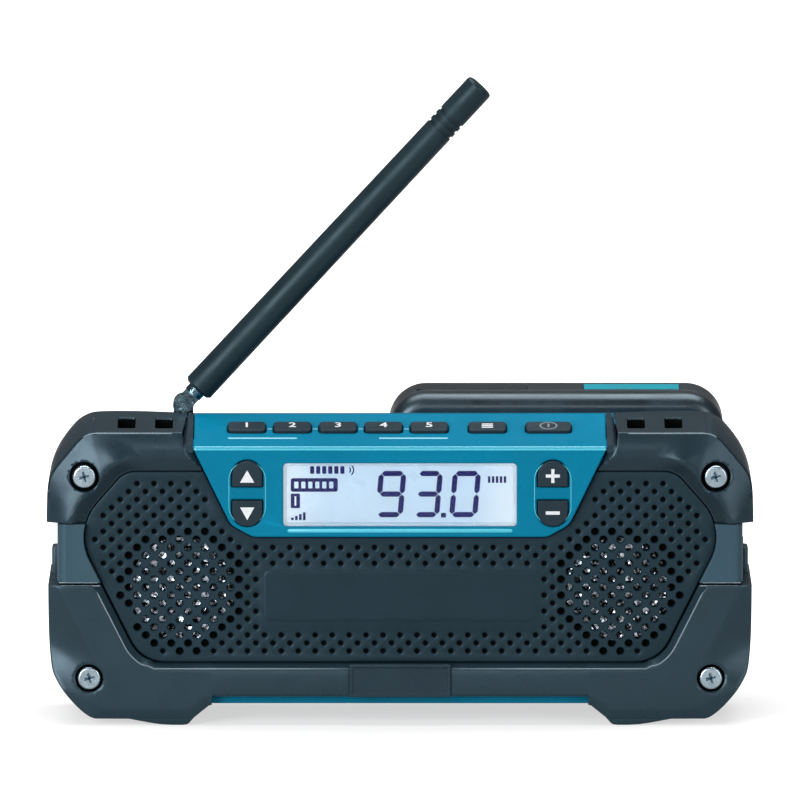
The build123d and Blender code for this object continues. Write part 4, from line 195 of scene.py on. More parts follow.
def cone_paper(name):
    """Silvered speaker cone: bright and finely creased, with scattered glints painted as near-white
    patches in its colour.
    """
    n = Nodes(name)
    crease = n.noise(420.0, 4.0, 0.65)
    dull, bright = srgb(150, 160, 168), srgb(250, 252, 255)
    return n.surface({
        "Base Color": n.mix(n.ramp(crease, 0.0, 1.0, 0.42, 0.6), dull, bright),
        "Roughness": n.ramp(crease, 0.2, 0.4),
        "Normal": n.bump(crease, 0.5, 0.0004),
        "Metallic": 0.3,
    })


def printed(name, color, specular=0.4):
    """Pad-printed ink: nearly even, with faint thin spots."""
    n = Nodes(name)
    thin = n.noise(1800.0, 3.0, 0.6)
    return n.surface({
        "Base Color": n.mix(n.ramp(thin, 0.0, 1.0), shaded(color, 0.88), color),
        "Roughness": n.ramp(thin, 0.45, 0.6),
        "Normal": n.bump(thin, 0.05, 0.00003),
        "Specular IOR Level": specular,
    })


def lit_glass(name, glow):
    """The display's back-lit layer: pale blue, paler towards its ends, mottled by its film."""
    n = Nodes(name)
    low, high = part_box("lcd_panel")
    middle, half = (low.x + high.x) / 2, (high.x - low.x) / 2
    across = n.add("ShaderNodeSeparateXYZ", Vector=n.coords).outputs["X"]
    reach = n.calc("ABSOLUTE", n.calc("SUBTRACT", across, middle))
    film = n.noise(60.0, 3.0, 0.5)
    base = n.mix(n.ramp(film, 0.0, 1.0, 0.2, 0.8), srgb(168, 196, 219), srgb(181, 205, 222))
    tone = n.mix(n.ramp(reach, 0.0, 1.0, half * 0.62, half), base, srgb(206, 222, 232))
    return n.surface({
        "Base Color": n.mix(n.ramp(film, 0.5, 0.6), tone, (0.02, 0.03, 0.05, 1)),
        "Emission Color": tone,
        "Emission Strength": glow,
        "Roughness": n.ramp(film, 0.25, 0.35),
    })


def clear_sheet(name):
    """Clear moulded window with a hard glossy face."""
    n = Nodes(name)
    haze = n.noise(70.0, 3.0, 0.5)
    return n.surface({
        "Base Color": n.mix(n.ramp(haze, 0.0, 1.0), (0.97, 0.985, 1.0, 1), (1, 1, 1, 1)),
        "Roughness": n.ramp(haze, 0.02, 0.05),
        "Transmission Weight": 1.0,
        "IOR": 1.25,
    })


CHARCOAL = srgb(26, 41, 50)
# LOWER: the bumper charcoal made lighter for the lower bumper and feet, as painted light
LOWER = srgb(33, 50, 59)
GRILLE = srgb(24, 41, 50)
RUBBER = srgb(22, 36, 42)
# COOL_LIGHT_TINT: a blue tint on the dark plastics' reflections, painted in for the cool tint of
# the studio light
COOL_LIGHT_TINT = (0.6, 0.84, 1.0, 1.0)  # bluish gloss of the dark plastics
# colour, roughness, grain, relief, cloud, rubbed edges (a painted highlight on pack_plate) and
# specular level; the rest by name
MOULDED = {
    "teal_shell": (srgb(0, 113, 145), 0.32, 1700, 0.03, 0.05, 0.2, 0.1, {"round_edge": 0.9}),
    # teal_painted_highlight: paler teal for the rolled beads, a painted highlight along the fold,
    # the display lip and round the keys
    "teal_painted_highlight": (srgb(70, 185, 208), 0.25, 1700, 0.02, 0.04, 0.1, 0.5, {"coat": 0.6, "seed": 2}),
    "charcoal_bumper": (CHARCOAL, 0.3, 1400, 0.08, 0.08, 0.25, 0.5, {"seed": 3, "tint": COOL_LIGHT_TINT}),
    "charcoal_lit_copy": (LOWER, 0.3, 1400, 0.08, 0.08, 0.25, 0.5, {"seed": 3, "tint": COOL_LIGHT_TINT}),
    "charcoal_grille": (GRILLE, 0.42, 1500, 0.08, 0.08, 0.12, 0.3, {"seed": 5, "tint": COOL_LIGHT_TINT}),
    "charcoal_plate": (GRILLE, 0.4, 1900, 0.06, 0.06, 0.1, 0.3, {"seed": 6, "tint": COOL_LIGHT_TINT}),
    "key_rubber": (srgb(30, 42, 50), 0.45, 1900, 0.1, 0.1, 0.35, 0.3, {"seed": 7, "tint": COOL_LIGHT_TINT}),
    "side_grey": (
        srgb(50, 73, 85), 0.4, 1400, 0.08, 0.08, 0.3, 0.35,
        {"seed": 4, "round_edge": 0.5, "tint": COOL_LIGHT_TINT},
    ),
    "black_rubber": (RUBBER, 0.42, 1100, 0.1, 0.15, 0.25, 0.35, {"seed": 9, "tint": COOL_LIGHT_TINT}),
    "pack_black": (
        srgb(12, 20, 26), 0.34, 1500, 0.02, 0.1, 0.2, 1.0,
        {"coat": 0.2, "coat_rough": 0.1, "seed": 11, "round_edge": 0.5, "tint": COOL_LIGHT_TINT},
    ),
    # edge_grey: pale grey for thin beads that paint the highlights along the bumpers' edges
    "edge_grey": (srgb(112, 126, 136), 0.28, 1400, 0.03, 0.1, 0.2, 0.5, {"seed": 23}),
    # black_and_painted_shade: near black for the dark inner parts, and also painted shade in the
    # grille's pits and gap, the strap slots, the screw seats and the gap under the side panels
    "black_and_painted_shade": (srgb(4, 5, 6), 0.75, 1200, 0.1, 0.1, 0.1, 0.05, {"seed": 13}),
    "board_green": (srgb(20, 88, 60), 0.45, 900, 0.1, 0.3, 0.1, 0.5, {"seed": 15}),
    "pack_teal": (srgb(0, 140, 158), 0.35, 1700, 0.04, 0.08, 0.2, 0.3, {"seed": 17}),
    # pack_plate: its strong rubbed edges are a painted highlight, the thin light outline of the
    # grip plates
    "pack_plate": (srgb(16, 24, 28), 0.3, 1500, 0.06, 0.1, 0.6, 0.4, {"seed": 19}),
    "cell_wrap": (srgb(40, 110, 70), 0.4, 1500, 0.05, 0.1, 0.1, 0.5, {"seed": 21}),
}
OTHERS = {
    "zinc": (metal, srgb(190, 210, 222), 0.24, 1300.0),
    "chrome": (metal, srgb(112, 140, 152), 0.14, 420.0, 1.0, 0.9, 0.0004),
    "brass": (metal, srgb(214, 176, 96), 0.3),
    # gauze: its deep dull patches paint shade over parts of the gauze, so that only some of the
    # open holes glint
    "gauze": (metal, srgb(210, 224, 234), 0.2, 900.0, 0.4, 0.85),
    "cone": (cone_paper,),
    "print_white": (printed, srgb(225, 230, 234)),
    "print_grey": (printed, srgb(120, 130, 138)),
    "print_cyan": (printed, srgb(150, 215, 232)),
    "print_navy": (printed, srgb(10, 12, 84), 0.05),
    "lcd_back": (lit_glass, 0.51),
    "lcd_light": (lit_glass, 0.5),
    "lcd_frame": (lit_glass, 0.4),
    "window": (clear_sheet,),
}
MATS = {name: moulded(name, *row, **more) for name, (*row, more) in MOULDED.items()}
MATS.update({name: make(name, *row) for name, (make, *row) in OTHERS.items()})

KEYS = [n for n in NODES if n.endswith("_button")]
NODE_MATS = {
    "teal_shell": ["front_housing", "rear_housing"],
    "charcoal_bumper": ["upper_left_bumper", "upper_right_bumper", "lower_bumper", "centre_badge"],
    "side_grey": ["left_side_panel", "right_side_panel"],
    "charcoal_grille": ["speaker_grille", "name_plate"],
    "key_rubber": KEYS,
    "black_rubber": [
        "housing_seal", "feet", "antenna_sleeve", "antenna_tip", "jack_cover", "speaker_gaskets",
    ],
    "pack_black": ["battery_case_head", "battery_case_base", "battery_latch"],
    "pack_teal": ["battery_label"],
    "pack_plate": ["battery_grip"],
    "zinc": ["front_screws", "rear_screws", "battery_screws", "board_screws", "speaker_screws"],
    "chrome": ["antenna_bushing", "antenna_fork", "antenna_pin", "antenna_knuckle"],
    "brass": ["battery_contacts", "terminal_blades"],
    "cone": ["left_speaker_cone", "right_speaker_cone"],
    "board_green": ["main_board", "key_board"],
    "cell_wrap": ["battery_cells"],
    "black_and_painted_shade": [
        "left_speaker_frame", "right_speaker_frame", "speaker_magnets", "board_components",
        "rocker_switches", "key_switches", "battery_terminal_block", "aux_jack", "antenna_core",
    ],
    "lcd_back": ["lcd_panel", "lcd_light_guide"],
    "window": ["lcd_window"],
}
for mat, names in NODE_MATS.items():
    for name in names:
        NODES[name].data.materials.clear()
        NODES[name].data.materials.append(MATS[mat])


# ---- softened edges of the carried-over solids ----------------------------------------------
MERGED_ANGLE, ROUNDED_ANGLE = 0.6, 28.0


def soften(name, width):
    """Weld the split faces, merge flat triangles and round the edges by width millimetres."""
    o = NODES[name]
    weld = o.modifiers.new("weld", "WELD")
    weld.merge_threshold = 2e-6
    merge = o.modifiers.new("merge", "DECIMATE")
    merge.decimate_type = "DISSOLVE"
    merge.angle_limit = math.radians(MERGED_ANGLE)
    bevel = o.modifiers.new("round", "BEVEL")
    bevel.width = width * MM
    bevel.segments = 2
    bevel.limit_method = "ANGLE"
    bevel.angle_limit = math.radians(ROUNDED_ANGLE)
    bevel.use_clamp_overlap = False
    bevel.harden_normals = False
    normals = o.modifiers.new("normals", "WEIGHTED_NORMAL")
    normals.weight = 60
    normals.keep_sharp = False


SOFTENED = [
    "front_housing", "rear_housing", "left_side_panel", "right_side_panel", "centre_badge",
    "battery_case_head", "battery_case_base",
]
for name in SOFTENED:
    soften(name, 0.3)
for name in KEYS:
    soften(name, 0.25)


# ---- drawing helpers ------------------------------------------------------------------------
def step(low, high, v):
    """Smooth 0 to 1 as v goes from low to high."""
    t = min(1.0, max(0.0, (v - low) / (high - low)))
    return t * t * (3 - 2 * t)


def mirrored(corners):
    """Corners of the right half, followed round by those of the left half."""
    return corners + [(-x, z, r) for x, z, r in reversed(corners)]


def rounded(corners, count=8):
    """Closed outline through (x, z, radius) corners, each drawn as an arc."""
    points = []
    for i, (x, z, r) in enumerate(corners):
        here = Vector((x, z))
        before = Vector(corners[i - 1][:2]) - here
        after = Vector(corners[(i + 1) % len(corners)][:2]) - here
        if r <= 0:
            points.append(here)
            continue
        half = before.angle(after) / 2
        run = min(r / math.tan(half), before.length * 0.49, after.length * 0.49)
        a, b = before.normalized(), after.normalized()
        middle = here + (a + b).normalized() * run / math.cos(half)
        start, end = here + a * run - middle, here + b * run - middle
        turn = start.angle_signed(end)
        for k in range(count + 1):
            t = -turn * k / count
            c, s = math.cos(t), math.sin(t)
            points.append(middle + Vector((start.x * c - start.y * s, start.x * s + start.y * c)))
    return points


def through(points, count):
    """Smooth open line through the points, with count steps between two of them."""
    pts = [Vector(p) for p in points]
    out = []
    for i in range(len(pts) - 1):
        p0 = pts[i - 1] if i else 2 * pts[0] - pts[1]
        p1, p2 = pts[i], pts[i + 1]
        p3 = pts[i + 2] if i + 2 < len(pts) else 2 * pts[-1] - pts[-2]
        for k in range(count):
            t = k / count
            bend = 2 * p1 + (p2 - p0) * t + (2 * p0 - 5 * p1 + 4 * p2 - p3) * t * t
            out.append(0.5 * (bend + (3 * p1 - p0 - 3 * p2 + p3) * t**3))
    out.append(pts[-1])
    return out


def grown(loop, amount):
    """A closed outline moved outwards, whichever way round it runs; amount may be a list."""
    area = sum(a.x * b.y - b.x * a.y for a, b in zip(loop, loop[1:] + loop[:1]))
    way = 1 if area > 0 else -1
    amounts = amount if isinstance(amount, list) else [amount] * len(loop)
    out = []
    for i, p in enumerate(loop):
        n1, n2 = p - loop[i - 1], loop[(i + 1) % len(loop)] - p
        if n1.length < 1e-6:
            n1 = n2
        if n2.length < 1e-6:
            n2 = n1
        n1 = Vector((n1.y, -n1.x)).normalized() * way
        n2 = Vector((n2.y, -n2.x)).normalized() * way
        n = (n1 + n2).normalized()
        out.append(p + n * amounts[i] / max(0.5, n.dot(n1)))
    return out


def inside(p, loop):
    odd = False
    for a, b in zip(loop, loop[1:] + loop[:1]):
        if (a.y > p.y) != (b.y > p.y):
            if p.x < (b.x - a.x) * (p.y - a.y) / (b.y - a.y) + a.x:
                odd = not odd
    return odd


def gap_to(p, line):
    """Distance from a point to an open line of points."""
    best = 1e9
    for a, b in zip(line, line[1:]):
        d = b - a
        t = min(1.0, max(0.0, (p - a).dot(d) / max(d.length_squared, 1e-12)))
        best = min(best, (p - a - d * t).length)
    return best


def circle(x, z, r, n):
    return [
        Vector((x + r * math.cos(2 * math.pi * i / n), z + r * math.sin(2 * math.pi * i / n)))
        for i in range(n)
    ]


def lattice(loop, spacing, margin):
    """Points on a triangular lattice inside an outline, clear of its edge by a margin."""
    xs, zs = [p.x for p in loop], [p.y for p in loop]
    found = []
    row, z = 0, min(zs)
    while z < max(zs):
        x = min(xs) + (row % 2) * spacing / 2
        while x < max(xs):
            p = Vector((x, z))
            if inside(p, loop) and gap_to(p, loop + loop[:1]) > margin:
                found.append(p)
            x += spacing
        z += spacing * 0.866
        row += 1
    return found


FRONTWARD = Vector((0, -1, 0))


def full(x, depth, z):
    """A point in millimetres in the shared frame."""
    return Vector((x, FRONT_Y + depth, z))


def box_loop(x0, z0, x1, z1, r=0.0):
    return rounded([(x0, z0, r), (x1, z0, r), (x1, z1, r), (x0, z1, r)], 4)


def rings_along(loop, steps):
    """Copies of an outline in the front plane, one for each (outward, depth) step."""
    return [[full(p.x, f, p.y) for p in grown(loop, g)] for g, f in steps]


def round_rings(centre, steps, count, side=1):
    """Circles about a centre in the front plane, one for each (radius, depth) step."""
    return [[full(side * p.x, f, p.y) for p in circle(*centre, r, count)] for r, f in steps]


class Shape:
    """Vertices and faces gathered in millimetres, then turned into one piece."""

    def __init__(self):
        self.points, self.faces = [], []

    def ring(self, points):
        first = len(self.points)
        self.points += points
        return list(range(first, len(self.points)))

    def bridge(self, a, b, closed=True):
        """Quads between two rings of the same length."""
        n = len(a)
        for i in range(n if closed else n - 1):
            j = (i + 1) % n
            self.faces.append((a[i], a[j], b[j], b[i]))

    def tube(self, rings, closed=True, cap_start=False, cap_end=False):
        made = [self.ring(r) for r in rings]
        for a, b in zip(made, made[1:]):
            self.bridge(a, b, closed)
        if cap_start:
            self.faces.append(tuple(made[0]))
        if cap_end:
            self.faces.append(tuple(made[-1]))
        return made

    def sheet(self, loops, extra, place, keep):
        """Triangles over a flat area; place turns (x, z) into a point, keep tells what stays."""
        flat, edges = [], []
        for loop in loops:
            first = len(flat)
            flat += [Vector(p) for p in loop]
            edges += [(first + i, first + (i + 1) % len(loop)) for i in range(len(loop))]
        flat += extra
        made = delaunay_2d_cdt(flat, edges, [], 0, 1e-6)
        verts, tris = made[0], made[2]
        base = self.ring([place(v) for v in verts])
        for t in tris:
            middle = (verts[t[0]] + verts[t[1]] + verts[t[2]]) / 3
            if keep(middle):
                self.faces.append(tuple(base[i] for i in t))

    def bead(self, path, r):
        """A thin round bead along points that keep close to one depth."""
        rows = []
        for i, p in enumerate(path):
            t = (path[min(i + 1, len(path) - 1)] - path[max(i - 1, 0)]).normalized()
            n = Vector((-t.z, 0, t.x)).normalized()
            size = r * (0.3 if i in (0, len(path) - 1) else 1.0)
            angles = [math.tau * k / 8 for k in range(8)]
            rows.append([p + (n * math.cos(a) + FRONTWARD * math.sin(a)) * size for a in angles])
        self.tube(rows, cap_start=True, cap_end=True)

    def piece(self, name, mat, slot, sharp=35.0, outward=None, body="radio", replaces=None):
        mesh = bpy.data.meshes.new(name)
        mesh.from_pydata([p * MM for p in self.points], [], self.faces)
        bm = bmesh.new()
        bm.from_mesh(mesh)
        bmesh.ops.remove_doubles(bm, verts=bm.verts, dist=2e-6)
        bmesh.ops.delete(bm, geom=[v for v in bm.verts if not v.link_faces], context="VERTS")
        bmesh.ops.recalc_face_normals(bm, faces=bm.faces)
        if outward is not None:
            # an open sheet: turned so that most of its area faces the given way
            way = sum((f.normal.dot(outward) * f.calc_area() for f in bm.faces), 0.0)
            if way < 0:
                bmesh.ops.reverse_faces(bm, faces=bm.faces)
        limit = math.radians(sharp)
        for f in bm.faces:
            f.smooth = True
        for e in bm.edges:
            if len(e.link_faces) == 2 and e.calc_face_angle(0) > limit:
                e.smooth = False
        bm.to_mesh(mesh)
        bm.free()
        mesh.materials.append(MATS[mat])
        o = bpy.data.objects.new(name, mesh)
        bpy.context.scene.collection.objects.link(o)
        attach(o, body)
        if replaces:
            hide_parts(replaces)


# ---- control panel and grille outlines -------------------------------------------------------
FOLD_DEPTH, FOLD_Z = 2.5, 88.5  # where the panel's front meets the sloping top
PANEL_SIDE = [(53.4, 63.9, 6.4), (46.5, 60.0, 6.4)]
GRILLE_TOP = 80.5
GRILLE_SIDE = [(86.7, GRILLE_TOP, 8), (102.7, 62.2, 16), (81.5, 19.8, 12)]
panel_sharp = [Vector(c[:2]) for c in mirrored([(65.3, FOLD_Z, 0)] + PANEL_SIDE)]
panel_wide = grown(panel_sharp, 0.4)
notch_top = panel_wide[1] + (panel_wide[0] - panel_wide[1]) * (
    (GRILLE_TOP - panel_wide[1].y) / (panel_wide[0].y - panel_wide[1].y)
)
grille_loop = rounded(
    mirrored([(notch_top.x, notch_top.y, 0.5)] + GRILLE_SIDE)
    + [(-p.x, p.y, 6.4) for p in panel_wide[1:3]]
    + [(p.x, p.y, 6.4) for p in panel_wide[2:0:-1]]
)
outer_grille_loop = rounded(mirrored(GRILLE_SIDE), 14)
grille_border = grown(outer_grille_loop, 0.3)  # where the bumpers end

# ---- speaker grille: one diagonal lattice of dimples, open over the speakers ----------------
SPEAKER = (68.65, 42.8)
OPEN_REACH = 20.3
PITCH = 5.35
ROW_STEP = 2.545
LATTICE_TOP = 76.65
LATTICE_ROWS = 24
LATTICE_REACH = 20  # dimples to each side of the middle
EDGE_MARGIN = 2.9
BARE_X, BARE_LOW, BARE_HIGH = 45.2, 29.2, 50.6  # field of the name plate
GRILLE_FACE = 5.0
GRILLE_RIM = [(-0.45, 0), (-0.18, 0.07), (-0.03, 0.25), (0, 0.5), (0, 2.0)]
DISH, PIT, PIT_DEPTH = 1.4, 0.76, 1.1
OPEN_HOLE = [(DISH, 0), (1.3, 0.12), (1.18, 0.32), (1.18, 2.0)]
BLIND_HOLE = [(DISH, 0), (1.05, 0.13), (0.82, 0.34), (PIT, 0.6), (PIT, PIT_DEPTH + 0.1)]
GAP_FLOOR, GAP_END = 6.9, 62.0
FELT = [(16.6, 7.3), (16.6, 7.05), (21.8, 7.05), (21.8, 7.12)]
CONE_REACH = 16.5
GAUZE_DEPTH, GAUZE_DENT = 7.75, 0.32


def grille_holes():
    """Holes of the lattice: (row, half steps across) gives x, z and whether it goes through."""
    closed = grille_loop + grille_loop[:1]
    holes = {}
    for row in range(LATTICE_ROWS):
        z = LATTICE_TOP - row * ROW_STEP
        for k in range(-LATTICE_REACH, LATTICE_REACH + 1):
            x = (k + (row + 1) % 2 / 2) * PITCH
            p = Vector((x, z))
            if abs(x) < BARE_X and BARE_LOW < z < BARE_HIGH:
                continue
            if inside(p, grille_loop) and gap_to(p, closed) > EDGE_MARGIN:
                is_open = math.hypot(abs(x) - SPEAKER[0], z - SPEAKER[1]) < OPEN_REACH
                holes[(row, round(2 * x / PITCH))] = (x, z, is_open)
    return holes


def build_grille():
    holes = grille_holes()
    face = grown(grille_loop, GRILLE_RIM[0][0])

    def keep(m):
        row, column = round((LATTICE_TOP - m.y) / ROW_STEP), round(2 * m.x / PITCH)
        near = [holes.get((row + i, column + j)) for i in (-1, 0, 1) for j in (-1, 0, 1)]
        in_hole = any(h and math.hypot(m.x - h[0], m.y - h[1]) < DISH * 0.95 for h in near)
        return not in_hole and inside(m, face)

    s, pits = Shape(), Shape()
    loops = [face] + [circle(x, z, DISH, 16) for x, z, _ in holes.values()]
    s.sheet(loops, [], lambda v: full(v.x, GRILLE_FACE, v.y), keep)
    s.tube(rings_along(grille_loop, [(g, GRILLE_FACE + d) for g, d in GRILLE_RIM]))
    for x, z, is_open in holes.values():
        steps = OPEN_HOLE if is_open else BLIND_HOLE
        s.tube(round_rings((x, z), [(r, GRILLE_FACE + d) for r, d in steps], 16))
        # the near-black disc at the floor of each blind dimple is painted shade
        if not is_open:
            disc = round_rings((x, z), [(PIT + 0.03, GRILLE_FACE + PIT_DEPTH)], 16)[0]
            pits.faces.append(tuple(pits.ring(disc)))
    pits.piece("grille_pit_painted_shade", "black_and_painted_shade", "grille_black", 60, FRONTWARD)
    mat, slot = "charcoal_grille", "grille_black"
    s.piece("grille_plate", mat, slot, 50, FRONTWARD, replaces="speaker_grille")


def build_felt():
    """Dark felt ring round each cone, behind the open holes."""
    s = Shape()
    for side in (-1, 1):
        s.tube(round_rings(SPEAKER, FELT, 48, side))
    s.piece("speaker_felt", "black_and_painted_shade", "grille_black")


def build_gap():
    """Painted shade: a near-black floor in the gap round the grille, open where the control panel
    crosses it.
    """
    s = Shape()
    gap = [Vector((GAP_END, GRILLE_TOP))] + outer_grille_loop + [Vector((-GAP_END, GRILLE_TOP))]
    s.tube(rings_along(gap, ((-0.3, GAP_FLOOR), (0.9, GAP_FLOOR))), closed=False)
    s.piece("grille_gap_painted_shade", "black_and_painted_shade", "grille_black", 60, FRONTWARD)


def build_gauze():
    """Crumpled silver gauze over each cone."""
    s = Shape()
    chance = random.Random(7)
    edge = circle(*SPEAKER, CONE_REACH, 48)
    for side in (-1, 1):
        dents = {}

        def dent(v):
            key = (round(v.x, 3), round(v.y, 3))
            if key not in dents:
                dents[key] = GAUZE_DEPTH + chance.uniform(-GAUZE_DENT, GAUZE_DENT)
            return full(side * v.x, dents[key], v.y)

        s.sheet([edge], lattice(edge, 1.0, 0.4), dent, lambda m: inside(m, edge))
    s.piece("speaker_gauze", "gauze", "cone_silver", 3, FRONTWARD)


build_grille()
build_felt()
build_gap()
build_gauze()


# ---- upper bumpers ---------------------------------------------------------------------------
BUMPER_BACK = 28.2
BUMPER_FOOT = 64.4
SHELF = 7.6  # depth at which the bumpers sit on the housing
LEDGE = GRILLE_TOP + 0.3
SCREW = (99.5, 79.2)
SEAT = 4.7
SEAT_FLOOR = 4.1
# front and back end of the outer edge, from the panel round the corner to the foot
STATIONS = [
    ((68.6, 93.1), (67.3, 96.0)),
    ((74.5, 93.1), (74.5, 96.3)),
    ((80.5, 93.1), (80.5, 96.5)),
    ((86.3, 93.1), (86.3, 96.6)),
    ((91.5, 93.1), (91.5, 96.6)),
    ((96.6, 93.0), (96.8, 96.3)),
    ((98.9, 92.3), (99.8, 95.2)),
    ((101.2, 90.7), (102.4, 93.3)),
    ((105.6, 85.6), (105.9, 89.1)),
    ((109.0, 81.3), (108.6, 84.6)),
    ((110.6, 78.3), (110.4, 79.5)),
    ((111.2, 74.5), (111.2, 73.5)),
    ((111.4, 69.5), (111.4, 69.0)),
    ((111.5, 64.4), (111.5, 64.4)),
]
PER = 4
front_line = through([a for a, _ in STATIONS], PER)
back_line = through([b for _, b in STATIONS], PER)
STRIP_END = 5 * PER  # station where the flat top ends and the corner begins
BAND_STEPS = 10
SLOPE_RISE = 0.2801  # of the top, for each millimetre of depth
SLOT_X = (86.3, 74.5)
SLOT_HALF, SLOT_FRONT, SLOT_END = 2.75, 9.6, 20.9
FLANK_FOOT, FLANK_WIDTH = 5.0, 4.6
BLENDING = 0.14  # how softly the flank runs into the slope
# ring after ring over the rim: insets at the outer edge, its corner and elsewhere, then drops
UPPER_RIM = [
    (0.55, 0.55, 0.25, 0.0, 0.0, 0.0),
    (0.32, 0.52, 0.08, 0.08, 0.75, 0.08),
    (0.13, 0.22, 0.0, 0.24, 0.75, 0.25),
    (0.03, 0.16, 0.0, 0.45, 0.15, 0.25),
    (0.0, 0.0, 0.0, 0.7, 0.4, 0.3),
]


def upper_outline():
    """Outline, what each point is on (outer edge, bottom, grille or panel) and two of its lines."""
    edge = [p for p in grille_border if p.x > 80 and BUMPER_FOOT < p.y < GRILLE_TOP + 0.25]
    edge.sort(key=lambda p: p.y)
    below = [p for p in grille_border if p.x > 0 and p.y <= BUMPER_FOOT]
    crossing = max(below, key=lambda p: p.y)
    edge = [Vector((crossing.x + (edge[0].x - crossing.x) * 0.6, BUMPER_FOOT))] + edge
    flat_end = Vector((edge[-1].x - 1.2, LEDGE))
    lean = panel_sharp[0] - panel_sharp[1]
    bend = PANEL_SIDE[0][1]
    foot, head = [
        panel_sharp[1] + lean * (z - bend) / lean.y + Vector((0.8, 0)) for z in (LEDGE, 88.1)
    ]
    level = [flat_end.lerp(foot, t / 10) for t in range(1, 11)]
    rise = [foot.lerp(head, t / 5) for t in range(1, 6)]
    tab = [Vector((68.35, 88.9)), Vector((68.55, 91.0))]
    bottom = [front_line[-1].lerp(edge[0], t / 6) for t in range(1, 6)]
    inner = edge + [flat_end] + level
    kinds = "o" * len(front_line) + "b" * len(bottom) + "g" * len(inner) + "p" * len(rise + tab)
    return front_line + bottom + inner + rise + tab, kinds, inner, [foot] + rise


upper_loop, upper_kinds, inner_line, panel_line = upper_outline()


def upper_depth(p):
    """Depth of the face: a flank off the grille, a slope outwards and a facet over the corner."""
    d_in, d_out = gap_to(p, inner_line), gap_to(p, front_line)
    blend = step(-4.5, 3.5, (p.x - 86.2) * 0.632 - (p.y - 85.1) * 0.775)
    crest = 2.7 - 1.9 * blend
    rim = 4.5 + 0.6 * blend
    flank = FLANK_FOOT + (crest - FLANK_FOOT) * min(1.0, d_in / FLANK_WIDTH)
    t = max(0.0, d_in - FLANK_WIDTH)
    t = t / (t + d_out + 1e-6)
    slope = crest + (rim - crest) * t ** (2.0 - 0.7 * blend)
    end = 4.7 + (crest - 4.7) * min(1.0, gap_to(p, panel_line) / 2.3)
    a = max(flank, end)
    higher = math.log(math.exp(a / BLENDING) + math.exp(slope / BLENDING))
    return BLENDING * higher - BLENDING * 0.12


upper_weights = []
for i, kind in enumerate(upper_kinds):
    w = step(4.6, 5.8, i / PER) * (1 - step(10.6, 11.6, i / PER))
    upper_weights.append((1 - w, w, 0) if kind == "o" else (0, 0, 1))


def blended(row, weights):
    """One value for each point, from a row of values and each point's weights for them."""
    return [sum(v * w for v, w in zip(row, point)) for point in weights]


def upper_rim(*insets):
    return grown(upper_loop, [-v for v in blended(insets, upper_weights)])


upper_first = upper_rim(*UPPER_RIM[0][:3])
upper_depths = [upper_depth(p) for p in upper_first]


def rim_rings(side, table, rim, weights, depths):
    """Ring after ring over a rim, from a table of insets and drops."""
    rings = []
    for row in table:
        half = len(row) // 2
        points = zip(rim(*row[:half]), depths, blended(row[half:], weights))
        rings.append([full(side * p.x, d + drop, p.y) for p, d, drop in points])
    return rings


def build_face(side, outline, depth_at, screw, seat_radius, spacing):
    """A bumper's face, and the rings that roll over into the seat of its screw."""
    s = Shape()
    middle = Vector(screw)
    seat = circle(*screw, seat_radius + 0.25, 40)
    gap, margin, clear = spacing
    extra = [p for p in lattice(outline, gap, margin) if (p - middle).length > seat_radius + clear]
    s.sheet(
        [outline, seat],
        extra,
        lambda v: full(side * v.x, depth_at(v), v.y),
        lambda m: inside(m, outline) and (m - middle).length > seat_radius + 0.2,
    )
    depths = [depth_at(p) for p in seat]
    rolled = []
    for r, d in ((0.25, 0.0), (0.08, 0.08), (0.0, 0.28), (0.0, 3.0)):
        pts = circle(*screw, seat_radius + r, 40)
        rolled.append([full(side * p.x, e + d, p.y) for p, e in zip(pts, depths)])
    return s, rolled


def upper_walls(s, rim, last):
    """Inner walls and underside, back to the shelf or the seam."""
    walls = [i for i, kind in enumerate(upper_kinds) if kind != "o"]
    walls = [walls[0] - 1] + walls + [0]
    back = []
    for i in walls:
        to = BUMPER_BACK if upper_kinds[i] in "bo" and i != 0 else SHELF
        back.append(Vector((last[i].x, FRONT_Y + to, last[i].z)))
    s.bridge([rim[i] for i in walls], s.ring(back), closed=False)


def upper_band(s, last, side):
    """Side band from the front edge to the seam."""
    before = None
    for k in range(BAND_STEPS + 1):
        t = k / BAND_STEPS
        row = []
        for i, (a, b) in enumerate(zip(last, back_line)):
            p = a.lerp(full(side * b.x, BUMPER_BACK, b.y), t)
            crown = (1 - step(8, 11.5, i / PER)) * step(4.2, 6, i / PER)
            p.z += 0.9 * math.sin(math.pi * t) * crown
            row.append(p)
        ids = s.ring(row[STRIP_END:])
        if before:
            s.bridge(before, ids, closed=False)
        before = ids


